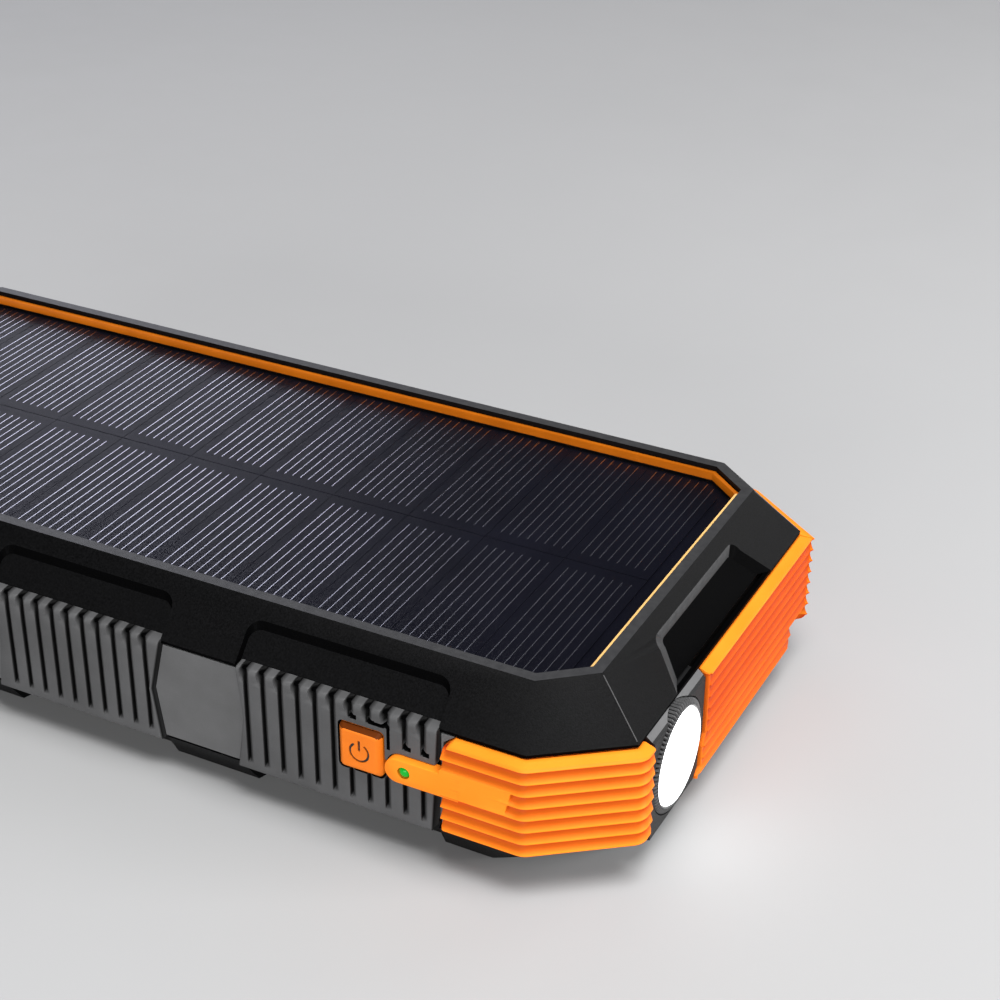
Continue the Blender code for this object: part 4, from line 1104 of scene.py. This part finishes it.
def make_status_light():
    profile = [(0.05, -45.19), (0.3, -45.16), (0.55, -45.04), (0.76, -44.84), (0.9, -44.6), (0.94, -44.3)]
    profile += [(0.94, -38.5), (0.85, -38.3)]
    pipe = lathe(profile, "Y", (LIGHT_X, LIGHT_Z), 48)
    add_piece("light_pipe", pipe, "light_green", ["status_light_pipe"])


def make_flashlight():
    centre = (TORCH_Y, TORCH_Z)
    rings = []
    middle = Vector((-20.9, 14.6))
    steps = ((88.5, 23.7, 0.0), (91.5, 23.7, 0.0), (92.4, 22.95, 0.0), (TORCH_FACE_X, 22.7, 0.12))
    for x, top, inset in steps:
        face = [(-30.2, 5.2), (-13.7, 5.2), (-12.2, 6.6), (-12.2, 10.7), (-11.0, 12.3)]
        face += [(-11.0, top), (-30.2, top)]
        face = [tuple(Vector(p) + (middle - Vector(p)).normalized() * inset) for p in face]
        rings.append(lifted(face, "X", x))
    mesh = loft(rings)
    upper = [face for face in mesh.faces if face.calc_center_median().z > 23.0]
    paint([face for face in upper if 91.5 < face.calc_center_median().x < 92.4], 1)
    node, band = ["flashlight_housing"], ("torch_band",)
    housing = add_piece("torch_block", mesh, "frame_black", node, finish="torch_grey", others=band)
    combine(housing, [cylinder("X", centre, 8.9, 78.6, 89.0, 64)], "UNION")
    bore = cylinder("X", centre, 7.9, 70.0, 96.0, 96)
    seat = cylinder("X", centre, 9.15, 89.8, 96.0, 96)
    combine(housing, [bore, seat], "DIFFERENCE")
    soften(housing, 0.1)
    mesh, node, valleys = bezel_mesh(centre), ["flashlight_bezel"], ("painted_shade_black",)
    add_piece("torch_bezel", mesh, "rubber_black", node, finish="bezel_grey", smooth=25.0, others=valleys)
    lens = [(0.05, 91.2), (7.7, 91.2), (7.72, 91.4), (7.72, 92.9), (7.64, 93.2), (7.4, 93.42), (6.7, 93.56)]
    lens += [(5.4, 93.67), (3.7, 93.75), (1.8, 93.79), (0.05, 93.8)]
    add_piece("torch_lens", lathe(lens, "X", centre, 96), "lens_white", ["flashlight_lens"], smooth=60.0)


def bezel_mesh(centre):
    """A ring whose front face and rim carry radial teeth."""
    teeth = 76
    rings = []
    section = ((7.85, 90.1, 0), (7.85, 93.0, 0), (7.92, 93.2, 0), (8.02, 93.25, 0), (8.1, 93.25, 1))
    section += ((8.75, 93.0, 1), (8.98, 92.75, 1), (9.0, 90.1, 1))
    for radius, x, toothed in section:
        points = []
        for i in range(teeth * 4):
            turn = 2 * math.pi * i / (teeth * 4)
            sunk = toothed and i % 4 in (2, 3)
            r = radius - 0.18 if sunk and radius > 8.5 else radius
            front = x - 0.34 if sunk and x > 92.0 else x
            points.append((front, centre[0] + r * math.cos(turn), centre[1] + r * math.sin(turn)))
        rings.append(points)
    mesh = loft(rings, closed=True)
    # painted shade: the valleys between the teeth are black.
    paint([mesh.faces[i] for i in range(4 * teeth * 4, 7 * teeth * 4) if i % 4 == 3], 1)
    return mesh


# Sockets, electronics and batteries


def make_contacts():
    """Gold contacts on the tongues of the three sockets."""
    sockets = []
    for index, y in enumerate(USB_A_YS):
        sockets.append((f"usb_a_contacts_{index + 1}", spaced(y, 4, 2.4), 80.0, 87.2, 0.55, 0.2, 0.32))
    sockets.append(("usb_c_contacts", spaced(USB_C_Y, 10, 0.6), 84.0, 87.6, 0.16, -0.4, 0.4))
    for name, ys, back, front, half, bottom, top in sockets:
        strips = [block((back, y - half, PORT_Z + bottom), (front, y + half, PORT_Z + top)) for y in ys]
        add_piece(name, joined(strips), "steel", finish="contact_gold")


def make_foams():
    """Soft pads round the batteries, with rounded edges that bulge a little."""
    for name, low, high in (("battery_foam_middle", 14.2, 15.2), ("battery_foam_top", 24.8, 27.9)):
        half = (high - low) / 2
        turns = [math.pi * (i / 8 - 0.5) for i in range(9)]
        steps = [((low + high) / 2 + half * math.sin(t), half * 0.7 * (1 - math.cos(t))) for t in turns]
        mesh = pillow("Z", (-16.5, 0.0), (96.0, 46.0), lambda inset: 2.0 - min(inset, 1.5), steps)
        pad = add_piece(f"{name}_pad", mesh, "foam_black", [name], smooth=60.0)


def dress_frame_nodes():
    """Materials and softened edges for the CAD nodes that are shown as they are."""
    shown = {sub["node"]: sub["material_slot"] for sub in frame["record"]["subparts"]}
    for name, node in frame["nodes"].items():
        node.data.materials.clear()
        node.data.materials.append(MATERIALS[shown[name]])
        hard = ("usb_", "power_", "main_", "charge_", "battery_cell", "panel_board", "panel_cover")
        if name.startswith(hard):
            add_bevel(node, 0.08)


# Stage, lights and camera


def make_stage():
    mesh = bmesh.new()
    bmesh.ops.create_grid(mesh, x_segments=8, y_segments=8, size=1500.0)
    tones = ((0.35, 0.35, 0.352), (0.37, 0.37, 0.372))
    plain = moulded("floor", *tones, (0.75, 0.85), 0.02, broad=4.0, grain=60.0)
    in_scene("floor", to_data("floor", mesh, [plain]))


def add_light(name, place, size, power, colour=(1.0, 1.0, 1.0)):
    """A softbox that faces the charger's middle."""
    middle = Vector((0.0, 0.0, 0.015))
    lamp = bpy.data.lights.new(name, "AREA")
    lamp.shape = "RECTANGLE"
    lamp.size, lamp.size_y = size
    lamp.energy = power
    lamp.color = colour
    holder = in_scene(name, lamp)
    holder.location = place
    holder.rotation_euler = (middle - Vector(place)).to_track_quat("-Z", "Y").to_euler()


def make_lights():
    world = bpy.data.worlds.new("studio")
    bpy.context.scene.world = world
    world.use_nodes = True
    world.node_tree.nodes["Background"].inputs["Color"].default_value = (0.92, 0.95, 1.0, 1.0)
    world.node_tree.nodes["Background"].inputs["Strength"].default_value = 0.08
    add_light("top_softbox", (0.28, -0.12, 0.80), (0.45, 0.45), 9.5)
    add_light("front_softbox", (0.15, -0.90, 0.22), (0.8, 0.25), 8.0)
    add_light("right_softbox", (0.90, 0.20, 0.30), (0.4, 0.3), 7.5)
    add_light("back_softbox", (0.50, 0.80, 0.40), (0.4, 0.3), 1.5)
    add_light("left_softbox", (-0.98, 0.78, 0.52), (0.9, 0.7), 4.4, (0.94, 0.95, 1.1))


def make_camera():
    roll = math.radians(-0.52)
    forward = Vector((-0.3921, 0.7723, -0.4999)).normalized()
    right = forward.cross(Vector((0, 0, 1))).normalized()
    right = Matrix.Rotation(roll, 3, forward) @ right
    up = right.cross(forward)
    lens = bpy.data.cameras.new("camera")
    lens.lens = 73.74
    lens.sensor_width = 36.0
    lens.clip_start = 0.01
    camera = in_scene("camera", lens)
    turn = Matrix((right, up, -forward)).transposed()
    camera.matrix_world = Matrix.Translation((0.17935, -0.25006, 0.1985)) @ turn.to_4x4()
    bpy.context.scene.camera = camera
    bpy.context.scene.view_settings.view_transform = "Standard"


def main():
    make_top_frame()
    make_mid_housing()
    make_rear_cover()
    make_feet()
    make_screws()
    make_trim()
    make_cells()
    make_grips()
    make_bumpers()
    make_port_cover()
    make_hinge_strip()
    make_button()
    make_status_light()
    make_flashlight()
    make_contacts()
    make_foams()
    dress_frame_nodes()
    make_stage()
    make_lights()
    make_camera()


main()
